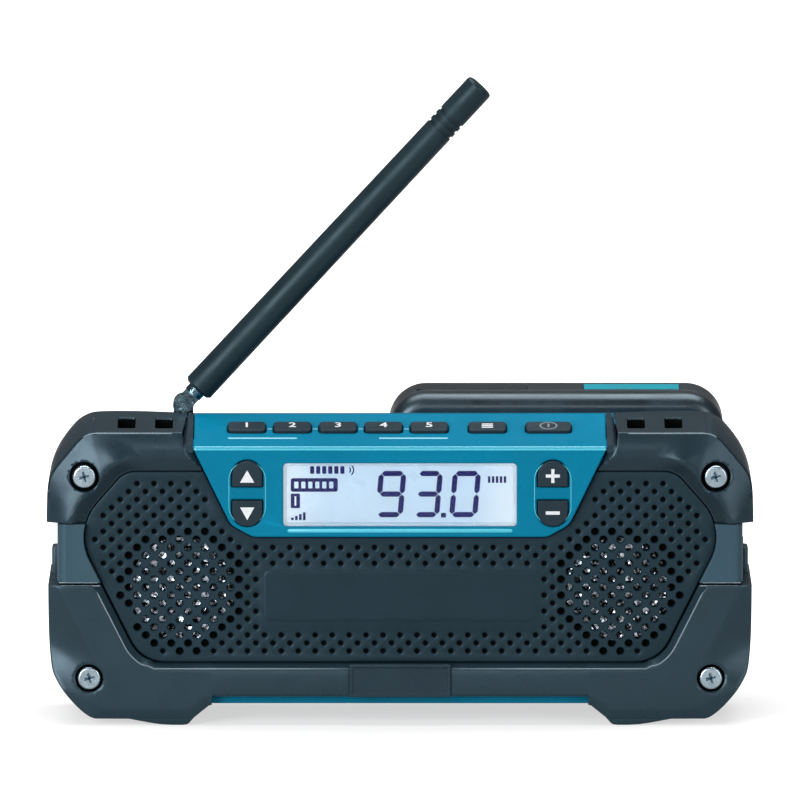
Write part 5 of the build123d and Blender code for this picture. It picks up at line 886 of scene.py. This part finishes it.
def upper_top(s, last, side):
    """Flat top with the two strap slots; gives back the slots and a way to place points on it."""
    steps = BAND_STEPS
    front = last[: STRIP_END + 1]
    back = [full(side * p.x, BUMPER_BACK, p.y) for p in back_line[: STRIP_END + 1]]
    right = [front[-1].lerp(back[-1], k / steps) for k in range(1, steps)]
    left = [back[0].lerp(front[0], k / steps) for k in range(1, steps)]
    around_it = front + right + back[::-1] + left
    outline = [Vector((side * p.x, p.y - FRONT_Y)) for p in around_it]
    heights = {(round(side * p.x, 3), round(p.y - FRONT_Y, 3)): p.z for p in around_it}

    def top_z(v):
        known = heights.get((round(v.x, 3), round(v.y, 3)))
        if known is not None:
            return known
        t = min(1.0, max(0.0, (v.y - 5.0) / (BUMPER_BACK - 5.0)))
        i = min(range(STRIP_END + 1), key=lambda j: abs(front_line[j].x - v.x))
        return 93.05 + (back_line[i].y - 93.05) * t

    def on_top(v, down=0.0):
        return full(side * v.x, v.y, top_z(v) - down)

    slots = [box_loop(x - SLOT_HALF, SLOT_FRONT, x + SLOT_HALF, SLOT_END, 0.8) for x in SLOT_X]
    wide = [grown(slot, 0.3) for slot in slots]
    s.sheet(
        [outline] + wide,
        lattice(outline, 3.0, 1.2),
        on_top,
        lambda m: inside(m, outline) and not any(inside(m, w) for w in wide),
    )
    rolls = ((0.3, 0), (0.1, 0.08), (0, 0.3), (0, 4.0))
    for slot in slots:
        s.tube([[on_top(v, d) for v in grown(slot, g)] for g, d in rolls])
    return slots, on_top


def build_tab(side, name):
    """Strip beside the panel, and the floor of the groove that parts it from the bumper."""
    strip = Shape()
    rows = []
    for k in range(13):
        t = k / 12
        f = 3.6 + (BUMPER_BACK - 3.6) * t
        z = FOLD_Z + SLOPE_RISE * (f - FOLD_DEPTH) + 0.35
        outer_x = 68.15 - 1.2 * t
        section = [
            (65.2, -2.4), (65.2, -0.3), (65.3, -0.08), (65.6, 0.0), (outer_x - 0.4, 0.0),
            (outer_x - 0.1, -0.1), (outer_x, -0.35), (outer_x, -1.5), (outer_x + 0.6, -1.5),
            (outer_x + 0.6, -2.4),
        ]
        rows.append([full(side * x, f, z + dz) for x, dz in section])
    strip.tube(rows, cap_start=True, cap_end=True)
    strip.piece(name + "_tab", "charcoal_bumper", "charcoal", 40)


def build_top_edge(side, name):
    """Painted highlight: a pale grey bead along the front edge of the flat top."""
    line = Shape()
    lit = list(zip(front_line, upper_depths))[2:27]
    line.bead([full(side * p.x, d + 0.12, p.y - 0.4) for p, d in lit], 0.2)
    line.piece(name + "_edge", "edge_grey", "charcoal", 60)


def build_upper_recesses(side, name, slots, on_top):
    """Painted shade: a near-black pocket under the slots, near-black walls inside them and a
    near-black seat round the screw.
    """
    shade_sheet = Shape()
    box = [(70.9, 8.6), (90.2, 8.6), (90.2, 23.0), (70.9, 23.0)]
    shade_sheet.tube([[full(side * x, f, z) for x, f in box] for z in (89.6, 84.7)], cap_end=True)
    for slot in slots:
        shade_sheet.tube([[on_top(v, d) for v in grown(slot, -0.05)] for d in (0.5, 4.2)])
    steps = [(SEAT, 3.6)] + [(r, SEAT_FLOOR) for r in (SEAT - 0.12, 3.4, 2.0)] + [(2.0, 4.5)]
    shade_sheet.tube(round_rings(SCREW, steps, 40, side))
    shade_sheet.piece(name + "_recesses", "black_and_painted_shade", "grille_black")


def build_bumper(side, name):
    s, rolled = build_face(side, upper_first, upper_depth, SCREW, SEAT, (0.75, 0.35, 0.6))
    s.tube(rolled[:3] + round_rings(SCREW, [(SEAT, 4.6)], 40, side))
    rings = rim_rings(side, UPPER_RIM, upper_rim, upper_weights, upper_depths)
    rim = s.tube(rings)[-1]
    upper_walls(s, rim, rings[-1])
    upper_band(s, rings[-1], side)
    slots, on_top = upper_top(s, rings[-1], side)
    build_tab(side, name)
    build_top_edge(side, name)
    s.piece(name + "_shell", "charcoal_bumper", "charcoal", 32, FRONTWARD, replaces=name)
    build_upper_recesses(side, name, slots, on_top)


build_bumper(1, "upper_right_bumper")
build_bumper(-1, "upper_left_bumper")


# ---- lower bumper: two legs, the bar between them and the feet -------------------------------
LEG_TOP = 44.7
LEG_SIDE = [
    (111.0, LEG_TOP), (111.0, 38.0), (110.9, 30.0), (110.6, 24.0), (109.9, 18.0), (108.6, 14.6),
    (106.2, 10.8), (103.4, 7.4), (100.6, 4.6), (98.0, 2.7), (96.2, 2.05),
]
LEG_UNDER = [
    (93.0, 2.0), (86.0, 2.0), (78.0, 2.0), (71.0, 2.0), (66.6, 2.0), (65.2, 2.3), (60.4, 6.2),
]
LEG_BACK = [
    (12, 0), (24, 0), (36, 0), (45.8, 0), (46.8, 0.2), (47.3, 0.6), (47.5, 1.3),
]  # depth and inset of the outer wall
CORE_EDGE = [(59.4, 6.6), (60.0, 6.15), (92.9, 6.05), (105.75, 18.9), (105.75, LEG_TOP)]
BAR_END = 59.4
BAR_HIGH = 18.5
LEG_FACE = 1.3
LOWER_SCREW = (98.1, 15.0)
LOWER_SEAT = 4.4
BAR_BACK, BAR_RISE = 7.0, 1.1
BADGE_HALF, BADGE_TOP = 16.2, 19.3
# ring after ring over the rim: insets at the outer edge, top, leg and bar, then their drops
LOWER_RIM = [
    (0.5, 0.35, 2.3, 0.9, 0.0, 0.0, 0.0, 0.0),
    (0.26, 0.15, 2.12, 0.75, 0.08, 0.1, 0.05, 0.06),
    (0.1, 0.04, 1.92, 0.2, 0.22, 0.25, 0.25, 0.6),
    (0.0, 0.0, 0.2, 0.0, 0.5, 0.5, 2.6, 1.0),
]
# the bar's section in depth and height; its chamfered upper edge runs on into the legs
BAR_PROFILE = [
    (7.0, 9.2), (2.4, 9.2), (1.75, 9.35), (1.4, 9.75), (1.3, 10.3), (1.3, 14.0), (1.3, 17.6),
    (1.36, 17.75), (1.9, 18.3), (2.3, 18.5), (7.0, 19.6),
]
FOOT_PROFILE = [
    (64.9, 2.6), (66.5, 0.7), (67.2, 0.2), (68.6, 0.0), (72.0, 0.0), (75.5, 0.2), (79.0, 0.7),
    (82.5, 1.35), (85.8, 2.05),
]
FOOT_SPANS = [(2.25, 12.5), (37.0, 46.0)]

side_line = through(LEG_SIDE, 4)
under_line = [Vector(p) for p in LEG_UNDER]


def leg_outline():
    """Outline of the right leg and what each point is on: outer edge, joint, grille or top."""
    edge = [p for p in grille_border if p.x > 60 and BAR_HIGH + 1.9 < p.y < LEG_TOP - 0.5]
    edge.sort(key=lambda p: -p.y)
    above = min((p for p in grille_border if p.x > 60 and p.y >= LEG_TOP), key=lambda p: p.y)
    start = above.lerp(edge[0], (above.y - LEG_TOP) / (above.y - edge[0].y))
    inner = [start] + [start.lerp(edge[0], t / 8) for t in range(1, 8)] + edge
    inner += [Vector(p) for p in ((77.2, 18.95), (74.0, BAR_HIGH), (67.0, BAR_HIGH))]
    inner.append(Vector((BAR_END, BAR_HIGH)))
    joint = [Vector((BAR_END, z)) for z in (6.6, 9.2, 12.0, 15.0)]
    top = [side_line[0].lerp(start, t / 6) for t in range(5, 0, -1)]
    outer = side_line + under_line
    kinds = "o" * len(outer) + "j" * len(joint) + "g" * len(inner) + "t" * len(top)
    return outer + joint + inner[::-1] + top, kinds


leg_loop, leg_kinds = leg_outline()
OUTER_COUNT = leg_kinds.count("o")
CORNER_INDEX = leg_kinds.index("g")
leg_share = [step(75.0, 81.0, p.x) for p in leg_loop]  # 1 on the leg, 0 along the bar


def leg_depth(p):
    """Depth of the face: a facet on the outer side above, rounded edges below."""
    fade = step(7.0, 31.0, p.y)
    facet = max(0.0, (p - Vector((107.9, 44.6))).dot(Vector((0.894, -0.447)))) * 0.52 * fade
    corner = max(0.0, 4.5 - gap_to(p, side_line)) * 0.16 * (1 - fade)
    under = max(0.0, 3.0 - gap_to(p, under_line)) * 0.28
    return LEG_FACE + max(facet, corner) + under


fixed_weights = {"o": (1, 0, 0, 0), "t": (0, 1, 0, 0), "j": (0, 0, 0, 0)}
leg_weights = [
    fixed_weights.get(kind, (0, 0, w, 1 - w)) for kind, w in zip(leg_kinds, leg_share)
]


def leg_rim(outer, top, leg, bar):
    """The outline moved in by the given insets."""
    out = grown(leg_loop, [-v for v in blended((outer, top, leg, bar), leg_weights)])
    out[CORNER_INDEX] = Vector((BAR_END, BAR_HIGH - bar))
    return out


leg_first = leg_rim(*LOWER_RIM[0][:4])
leg_depths = [leg_depth(p) for p in leg_first]


def build_leg(side, name):
    s, rolled = build_face(side, leg_first, leg_depth, LOWER_SCREW, LOWER_SEAT, (0.9, 0.4, 0.7))
    s.tube(rolled)
    rings = rim_rings(side, LOWER_RIM, leg_rim, leg_weights, leg_depths)
    rim = s.tube(rings)[-1]
    before = rim[:OUTER_COUNT]
    for f, inset in LEG_BACK:
        pts = leg_rim(inset, 0, 0, 0)[:OUTER_COUNT]
        ids = s.ring([full(side * p.x, f, p.y) for p in pts])
        s.bridge(before, ids, closed=False)
        before = ids
    ids = list(range(OUTER_COUNT - 1, len(leg_loop))) + [0]
    back = []
    for i in ids:
        bar_part = (1 - leg_share[i]) if leg_kinds[i] == "g" else 0.0
        p = rings[-1][i]
        depth = SHELF + (BAR_BACK - SHELF) * bar_part
        back.append(Vector((p.x, FRONT_Y + depth, p.z + BAR_RISE * bar_part)))
    s.bridge([rim[i] for i in ids], s.ring(back), closed=False)
    s.piece(name, "charcoal_lit_copy", "charcoal", 30, FRONTWARD)


def build_leg_rear(side, name):
    """Rear rim, shoulder over the side wall and the cheek behind the side panel."""
    s = Shape()
    rear = leg_rim(1.3, 0, 0, 0)[:OUTER_COUNT] + [Vector(p) for p in CORE_EDGE]
    s.sheet([rear], [], lambda v: full(side * v.x, 47.5, v.y), lambda m: inside(m, rear))
    shoulder = [[full(side * x, f, LEG_TOP - 0.02) for x in (105.6, 111.0)] for f in (3.0, 47.2)]
    s.tube(shoulder, closed=False)
    cheek = rounded(
        [(105.7, 29.0, 0.4), (110.35, 29.0, 0.9), (110.35, 36.8, 0.9), (105.7, 36.8, 0.4)], 5
    )
    steps = ((44.5, 0), (52.3, 0), (52.75, 0.15), (53.0, 0.6))
    s.tube([[full(side * p.x, p.y, z) for p in grown(cheek, -g)] for z, g in steps], cap_end=True)
    s.piece(name + "_rim", "charcoal_lit_copy", "charcoal", 30)


def build_leg_recesses(side, name):
    """Painted shade: a near-black seat round the screw, and a near-black sheet in the gap under the
    side panel.
    """
    s = Shape()
    steps = [(LOWER_SEAT, 3.2), (LOWER_SEAT - 0.12, SEAT_FLOOR), (2.0, SEAT_FLOOR), (2.0, 4.5)]
    s.tube(round_rings(LOWER_SCREW, steps, 40, side))
    s.tube([[full(side * x, 6.6, z) for x in (91.0, 105.7)] for z in (43.0, 46.4)], False)
    s.piece(name + "_recesses", "black_and_painted_shade", "grille_black")


def build_bar():
    s = Shape()
    for side in (-1, 1):
        stations = (BADGE_HALF, 30.0, 45.0, BAR_END)
        s.tube([[full(side * x, f, z) for f, z in BAR_PROFILE] for x in stations], closed=False)
    behind_badge = ((2.9, 18.55), (7.0, 19.6))
    s.tube([[full(x, f, z) for f, z in behind_badge] for x in (-BADGE_HALF, BADGE_HALF)], False)
    name, mat = "lower_bumper_bar", "charcoal_lit_copy"
    s.piece(name, mat, "charcoal", 40, FRONTWARD, replaces="lower_bumper")


def build_lower_edges():
    """Painted highlights: pale grey beads along the bar, the legs, the side panels' feet and the
    badge.
    """
    s = Shape()
    crest = [i for i, kind in enumerate(leg_kinds) if kind == "g"][1:]
    run = leg_rim(0, 0, 2.1, 0.45)
    for side in (-1, 1):
        path = [full(side * x, 1.75, BAR_HIGH - 0.45) for x in (17.0, 40.0)]
        for i in crest:
            down = 0.12 * leg_share[i] + 0.45 * (1 - leg_share[i])
            path.append(full(side * run[i].x, leg_depths[i] + down, run[i].y))
        s.bead(path, 0.24)
        across = (94.5, 95.0, 103.0, 106.5, 107.0)
        s.bead([full(side * x, 1.75, LEG_TOP - 0.15) for x in across], 0.2)
        s.bead([full(side * x, 2.15, 45.5) for x in (95.2, 95.6, 103.0, 107.2, 107.6)], 0.2)
        s.bead([full(side * 15.6, 0.85, z) for z in (9.6, 9.9, 15.0, 19.0, BADGE_TOP)], 0.3)
    s.bead([full(x, 0.85, BADGE_TOP) for x in (-15.4, -15.0, 0.0, 15.0, 15.4)], 0.22)
    s.piece("lower_bumper_painted_highlights", "edge_grey", "charcoal", 60)


def build_feet():
    s = Shape()
    for side in (-1, 1):
        for front, back in FOOT_SPANS:
            ends = [(front, 0.3), (front + 0.2, 0.08), (front + 0.6, 0)]
            ends += [(back - 1.0, 0), (back - 0.3, 0.12), (back - 0.001, 0.5)]
            rows = [
                [full(side * x, f, min(z, 2.6) + lift * (z < 2)) for x, z in FOOT_PROFILE]
                for f, lift in ends
            ]
            s.tube(rows, closed=False, cap_start=True, cap_end=True)
    s.piece("foot_pads", "charcoal_lit_copy", "foot_rubber", 50, Vector((0, 0, -1)), replaces="feet")


for side, name in ((1, "lower_bumper_right"), (-1, "lower_bumper_left")):
    build_leg(side, name)
    build_leg_rear(side, name)
    build_leg_recesses(side, name)
build_lower_edges()
build_bar()
build_feet()


# ---- flat printed shapes ---------------------------------------------------------------------
def segment(a, b, w):
    """A display bar between two points, with pointed ends."""
    a, b = Vector(a), Vector(b)
    d = (b - a).normalized()
    n = Vector((-d.y, d.x)) * w / 2
    cut = d * w / 2
    return [a, a + cut + n, b - cut + n, b, b - cut - n, a + cut - n]


DIGIT_BARS = {"0": "abcdef", "3": "abgcd", "9": "abcdfg"}
BAR_GAP = 0.14


def digit_loops(char, x, z, width, height, w, lean):
    """The bars of one seven-bar digit whose lower left corner is at x, z."""
    half = w / 2
    x0, x1, z0, z1 = x + half, x + width - half, z + half, z + height - half
    zm = (z0 + z1) / 2
    ends = {
        "a": ((x0, z1), (x1, z1)),
        "b": ((x1, z1), (x1, zm)),
        "c": ((x1, zm), (x1, z0)),
        "d": ((x1, z0), (x0, z0)),
        "e": ((x0, z0), (x0, zm)),
        "f": ((x0, zm), (x0, z1)),
        "g": ((x0, zm), (x1, zm)),
    }
    loops = []
    for bar in DIGIT_BARS[char]:
        a, b = Vector(ends[bar][0]), Vector(ends[bar][1])
        d = (b - a).normalized() * BAR_GAP
        loops.append([Vector((p.x + (p.y - z) * lean, p.y)) for p in segment(a + d, b - d, w)])
    return loops


def strokes(points, w, closed=False):
    """A drawn line of even width, as one or two closed loops."""
    pts = [Vector(p) for p in points]
    if closed:
        return [grown(pts, w / 2), grown(pts, -w / 2)]
    left, right = [], []
    for i, p in enumerate(pts):
        d = (pts[min(i + 1, len(pts) - 1)] - pts[max(i - 1, 0)]).normalized()
        n = Vector((-d.y, d.x)) * w / 2
        left.append(p + n)
        right.append(p - n)
    return [left + right[::-1]]


def ink(name, mat, groups, place, body, slot, rise=0.04):
    """Low printed or filled shapes; each group is an outline, or an outline and its hole."""
    s = Shape()
    for loops in groups:
        if len(loops) == 1:
            s.tube([[place(p, h) for p in loops[0]] for h in (-rise, rise)], cap_end=True)
        else:
            for loop in loops:
                s.tube([[place(p, h) for p in loop] for h in (-rise, rise)])
            a, b = loops
            s.sheet(
                [a, b], [], lambda v: place(v, rise), lambda m: inside(m, a) and not inside(m, b)
            )
    s.piece(name, mat, slot, 30, body=body)


def on_front(depth):
    return lambda p, h: full(p.x, depth - h, p.y)


SLOPE_ANGLE = math.radians(15.65)
SLOPE_ALONG = (math.cos(SLOPE_ANGLE), math.sin(SLOPE_ANGLE))


def on_slope(height):
    """Places (x, up) over the sloping top, height above it."""

    def place(p, h):
        up, out = p.y, height + h
        depth = FOLD_DEPTH + up * SLOPE_ALONG[0] - out * SLOPE_ALONG[1]
        return full(p.x, depth, FOLD_Z + up * SLOPE_ALONG[1] + out * SLOPE_ALONG[0])

    return place


# ---- display ---------------------------------------------------------------------------------
LEAN = math.tan(math.radians(5))
READOUT_DEPTH, CUTOUT_DEPTH = 5.12, 5.05


def row_of(count, pitch, box, r, rise=0.0):
    """Blocks side by side, each one taller than the last by rise."""
    x0, z0, x1, z1 = box
    steps = [(pitch * i, rise * i) for i in range(count)]
    return [[box_loop(x0 + along, z0, x1 + along, z1 + up, r)] for along, up in steps]


readout = []
for char, x, width in (("9", -7.9, 8.7), ("3", 4.0, 8.3), ("0", 15.4, 8.9)):
    readout += [[loop] for loop in digit_loops(char, x, 66.0, width, 14.7, 1.65, LEAN)]
readout.append([box_loop(12.9, 65.9, 14.5, 67.4, 0.3)])
readout.append([box_loop(-34.4, 74.1, -19.6, 78.4, 0.7)])
readout.append([box_loop(-34.4, 68.9, -31.5, 73.5, 0.3)])
readout += row_of(4, 1.25, (-34.3, 65.1, -33.5, 65.9), 0.0, 0.55)
readout += row_of(5, 1.25, (27.7, 76.9, 28.45, 79.0), 0.15)
readout += row_of(6, 1.9, (-28.3, 79.8, -27.0, 82.2), 0.3)
for r in (1.0, 2.0):
    arc = [(-16.6 + r * math.cos(t / 8), 81.0 + r * math.sin(t / 8)) for t in range(-7, 8)]
    readout.append(strokes(arc, 0.42))
ink("display_readout", "print_navy", readout, on_front(READOUT_DEPTH), "radio", "lcd_blue")
cutouts = row_of(6, 2.2, (-33.3, 75.2, -32.0, 77.3), 0.2)
ink("display_cutouts", "lcd_light", cutouts, on_front(CUTOUT_DEPTH), "radio", "lcd_blue", 0.02)


def build_display():
    """A clear window with a rolled edge, over a bright inner bevel."""
    loop = rounded(mirrored([(36.6, 63.45, 1.6), (36.6, 83.25, 1.6)]), 8)
    s = Shape()
    steps = ((-0.5, 4.6), (0, 4.6), (0, 3.8), (-0.12, 3.58), (-0.4, 3.5))
    s.tube(rings_along(loop, steps), cap_start=True, cap_end=True)
    s.piece("display_window", "window", "window_clear", 50, replaces="lcd_window")
    s = Shape()
    s.tube(rings_along(loop, ((0.0, 4.62), (-0.55, 4.62), (-0.75, 4.8), (-0.95, 5.17))))
    s.piece("display_frame", "lcd_frame", "lcd_blue", 30, FRONTWARD)


def build_sill():
    """Rolled lip under the display, which catches the light from above; its paler teal is a painted
    highlight as well.
    """
    s = Shape()
    rows = []
    for x, r in ((-35.6, 0.2), (-35.3, 0.55), (-34.9, 0.7), (34.9, 0.7), (35.3, 0.55), (35.6, 0.2)):
        angles = [math.radians(-60 + 15 * k) for k in range(11)]
        rows.append([full(x, 2.85 - r * math.cos(a), 62.0 + r * math.sin(a)) for a in angles])
    s.tube(rows, closed=False)
    s.piece("display_sill", "teal_painted_highlight", "teal", 60, FRONTWARD)


build_display()
build_sill()


# ---- key symbols and panel printing ----------------------------------------------------------
KEY_FRONT = 1.5
SIGN_X = 48.15
# corners of each sign, across from the middle of its key and up from the ground
SIGNS = {
    "tune_up": (-1, [(-2.25, 77.5), (2.25, 77.5), (0, 81.4)]),
    "tune_down": (-1, [(-2.25, 69.6), (0, 65.6), (2.25, 69.6)]),
    "volume_up": (1, [
        (-2.2, 79.1), (-0.5, 79.1), (-0.5, 77.4), (0.5, 77.4), (0.5, 79.1), (2.2, 79.1),
        (2.2, 80.1), (0.5, 80.1), (0.5, 81.8), (-0.5, 81.8), (-0.5, 80.1), (-2.2, 80.1),
    ]),
}
groups = {
    name: [[[Vector((side * SIGN_X + x, z)) for x, z in corners]]]
    for name, (side, corners) in SIGNS.items()
}
groups["volume_down"] = [[box_loop(SIGN_X - 2.2, 67.3, SIGN_X + 2.2, 68.35)]]
for name, drawn in groups.items():
    body = name + "_button_body"
    ink(name + "_symbol", "print_white", drawn, on_front(KEY_FRONT), body, "key_dark")

TOP_KEY_UP = 14.9
KEY_HALF = 5.9
KEYS_X = [-48.4 + 14.4 * i for i in range(5)]
BAND_X, POWER_X = 27.6, 46.9
on_key = on_slope(1.0)


def numeral(name, char, x, up, height, place, mat, body, slot):
    """One plain numeral in the built-in face, laid on a surface and centred at x, up."""
    data = bpy.data.curves.new(name, "FONT")
    data.body = char
    data.size = 1.0
    data.offset = 0.018
    data.resolution_u = 3
    drawn = bpy.data.objects.new(name + "_outline", data)
    flat = bpy.data.meshes.new_from_object(drawn)
    xs, ys = [v.co.x for v in flat.vertices], [v.co.y for v in flat.vertices]
    scale = height / (max(ys) - min(ys))
    mx, my = (max(xs) + min(xs)) / 2, (max(ys) + min(ys)) / 2
    s = Shape()
    spots = [Vector((x + (a - mx) * scale, up + (b - my) * scale)) for a, b in zip(xs, ys)]
    s.ring([place(p, 0.04) for p in spots])
    s.faces += [tuple(p.vertices) for p in flat.polygons]
    bpy.data.objects.remove(drawn)
    s.piece(name, mat, slot, 30, FRONTWARD, body)


for i, x in enumerate(KEYS_X):
    numeral(
        f"preset_{i + 1}_symbol", str(i + 1), x, TOP_KEY_UP + 0.7, 3.6, on_key,
        "print_white", f"preset_{i + 1}_button_body", "key_dark",
    )
numeral(
    "display_numeral", "1", -32.95, 71.2, 3.0, on_front(5.06), "lcd_light", "radio", "lcd_blue"
)
bars = []
for i in range(3):
    low = TOP_KEY_UP - 1.6 + 1.25 * i
    high = TOP_KEY_UP - 0.9 + 1.25 * i
    bars.append([box_loop(BAND_X - 1.8, low, BAND_X + 1.8, high, 0.2)])
ink("band_symbol", "print_white", bars, on_key, "band_button_body", "key_dark")
power_ring = strokes(circle(POWER_X, TOP_KEY_UP, 2.6, 20), 0.5, True)
power_bar = [box_loop(POWER_X - 0.3, TOP_KEY_UP - 1.2, POWER_X + 0.3, TOP_KEY_UP + 1.6, 0.1)]
power = [power_ring, power_bar]
ink("power_symbol", "print_grey", power, on_key, "power_button_body", "key_dark")
lines = [[box_loop(-54.3, 6.9, -32.5, 7.75, 0.3)], [box_loop(-6.6, 6.9, 15.1, 7.75, 0.3)]]
for a, b in zip(KEYS_X, KEYS_X[1:]):
    lines.append([box_loop(a + KEY_HALF + 0.55, 14.35, b - KEY_HALF - 0.55, 14.75)])
ink("panel_lines", "print_cyan", lines, on_slope(0.0), "radio", "teal")

# painted shade: flat grey crosses over the screw heads stand for the shade in their cross recesses
CROSS_TURN, CROSS_REACH = 0.35, 1.75
crosses = []
for x, z in (SCREW, LOWER_SCREW):
    for side in (-1, 1):
        for turn in (CROSS_TURN, CROSS_TURN + math.pi / 2):
            reach = Vector((math.cos(turn), math.sin(turn))) * CROSS_REACH
            middle = Vector((side * x, z))
            crosses.append([segment(middle - reach, middle + reach, 0.62)])
ink("screw_recess_painted_shade", "side_grey", crosses, on_front(1.58), "radio", "zinc_steel", 0.03)


def build_pockets():
    """Raised line round each pair of front keys, in paler teal as a painted highlight."""
    s = Shape()
    low, high, half, r = 64.0, 83.9, 5.75, 5.6
    for x in (-SIGN_X, SIGN_X):
        corners = ((x + half, low), (x + half, high), (x - half, high), (x - half, low))
        path = [full(p.x, FOLD_DEPTH, p.y) for p in rounded([(*c, r) for c in corners], 8)]
        s.bead(path + path[:2], 0.16)
    s.piece("key_surrounds", "teal_painted_highlight", "teal", 60)


def build_crease():
    """Rolled bead along the fold between the sloping top and the panel's front, in paler teal as a
    painted highlight.
    """
    s = Shape()
    bead, proud = 0.95, 0.1
    tilt = math.pi / 2 - SLOPE_ANGLE
    # the bead touches both faces, each moved out by the same small amount
    back = bead - proud
    centre_f = FOLD_DEPTH + back
    centre_z = FOLD_Z + back * math.tan(SLOPE_ANGLE) - back / math.cos(SLOPE_ANGLE)
    rows = []
    for x in [-65.0, -64.7] + [-64 + 8 * i for i in range(17)] + [64.7, 65.0]:
        r = bead - (0.25 if abs(x) > 64.9 else 0.0)
        angles = [math.radians(-14) + (tilt + math.radians(28)) * k / 12 for k in range(13)]
        bent = [(centre_f - r * math.cos(a), centre_z + r * math.sin(a)) for a in angles]
        rows.append([full(x, f, z) for f, z in bent])
    s.tube(rows, closed=False)
    s.piece("panel_crease", "teal_painted_highlight", "teal", 60, FRONTWARD)


def build_plate():
    """Blank name plate: a smooth bare pad that stands a quarter of a millimetre off the grille."""
    loop = rounded(mirrored([(43.0, 32.8, 2.0), (43.0, 49.0, 2.0)]), 8)
    s = Shape()
    steps = ((0, 5.02), (0, 4.95), (-0.25, 4.84), (-0.7, 4.78), (-1.5, 4.76))
    s.tube(rings_along(loop, steps), cap_end=True)
    s.piece("plate_pad", "charcoal_plate", "plate_dark", 50, replaces="name_plate")


build_pockets()
build_crease()
build_plate()


# ---- stage, lamps and camera -----------------------------------------------------------------
FLOOR_REACH = 6.0
GLOSSY_WORLD, SOFT_WORLD = 0.15, 0.16


def floor_material():
    """Near white, with a glow for the camera that grows away from the radio."""
    n = Nodes("floor_white")
    path = n.add("ShaderNodeLightPath").outputs
    seen = n.calc("MULTIPLY_ADD", path["Is Glossy Ray"], GLOSSY_WORLD, path["Is Camera Ray"])
    seen = n.calc("ADD", seen, path["Is Transmission Ray"], clamp=True)
    oval = n.add("ShaderNodeVectorMath", operation="MULTIPLY")
    n.feed(oval.inputs[0], n.coords)
    n.feed(oval.inputs[1], (0.5, 1.0, 1.0))
    away = n.add("ShaderNodeVectorMath", operation="LENGTH")
    n.feed(away.inputs[0], oval.outputs["Vector"])
    level = n.ramp(away.outputs["Value"], 0.6, 1.3, 0.05, 0.16)
    tone = n.ramp(n.noise(6.0, 3.0), 0.0, 1.0)
    return n.surface({
        "Base Color": n.mix(tone, srgb(168, 168, 168), srgb(174, 174, 174)),
        "Roughness": 0.7,
        "Specular IOR Level": 0.0,
        "Emission Color": (1, 1, 1, 1),
        "Emission Strength": n.calc("MULTIPLY", seen, level),
    })


floor_mesh = bpy.data.meshes.new("floor")
corners = [(x * FLOOR_REACH, y * FLOOR_REACH, 0) for x, y in ((-1, -1), (1, -1), (1, 1), (-1, 1))]
floor_mesh.from_pydata(corners, [], [(0, 1, 2, 3)])
floor_mesh.materials.append(floor_material())
floor = bpy.data.objects.new("floor", floor_mesh)
bpy.context.scene.collection.objects.link(floor)


def studio_world():
    """White to the camera and through glass, paler in reflections, soft as a light."""
    world = bpy.data.worlds.new("studio")
    bpy.context.scene.world = world
    n = Tree(world)
    path = n.add("ShaderNodeLightPath").outputs
    levels = {"Camera": 1.0, "Transmission": 0.75, "Glossy": GLOSSY_WORLD, "Diffuse": SOFT_WORLD}
    strength = 0.0
    for ray, level in levels.items():
        strength = n.calc("MAXIMUM", strength, n.calc("MULTIPLY", path[f"Is {ray} Ray"], level))
    back = n.tree.nodes["Background"]
    n.feed(back.inputs["Color"], (1, 1, 1, 1))
    n.feed(back.inputs["Strength"], strength)


studio_world()


def lamp(name, place, target, size, energy):
    data = bpy.data.lights.new(name, "AREA")
    data.shape = "RECTANGLE"
    data.size, data.size_y = size
    data.energy = energy
    o = bpy.data.objects.new(name, data)
    o.location = place
    o.rotation_euler = (Vector(target) - Vector(place)).to_track_quat("-Z", "Y").to_euler()
    bpy.context.scene.collection.objects.link(o)


def around(turn, rise, reach):
    """A place in metres, turned from the front and raised, in degrees."""
    t, e = math.radians(turn), math.radians(rise)
    flat = reach * math.cos(e)
    return (flat * math.sin(t), -flat * math.cos(t), reach * math.sin(e))


lamp("top_softbox", (0.0, 0.15, 1.25), (0, 0, 0.06), (1.3, 1.0), 17)
lamp("left_softbox", around(-34, 19, 1.5), (0, 0, 0.08), (0.7, 0.9), 17)
lamp("right_softbox", around(40, 18, 1.5), (0, 0, 0.08), (0.7, 0.9), 5.5)
lamp("front_fill", around(0, 14, 2.4), (0, 0, 0.08), (0.5, 0.5), 2.5)

TILT = math.radians(8.0)
DISTANCE = 5.0
aim = at(0, 0, 104.0)
cam_data = bpy.data.cameras.new("camera")
cam_data.sensor_width = 36.0
cam_data.lens = 36.0 * (DISTANCE + 0.0125) / (800 * 0.3155 * MM)
cam_data.clip_end = 50.0
camera = bpy.data.objects.new("camera", cam_data)
camera.location = aim + Vector((0, -math.cos(TILT), math.sin(TILT))) * DISTANCE
camera.rotation_euler = (math.pi / 2 - TILT, 0, 0)
bpy.context.scene.collection.objects.link(camera)
bpy.context.scene.camera = camera

bpy.context.scene.view_settings.view_transform = "Standard"
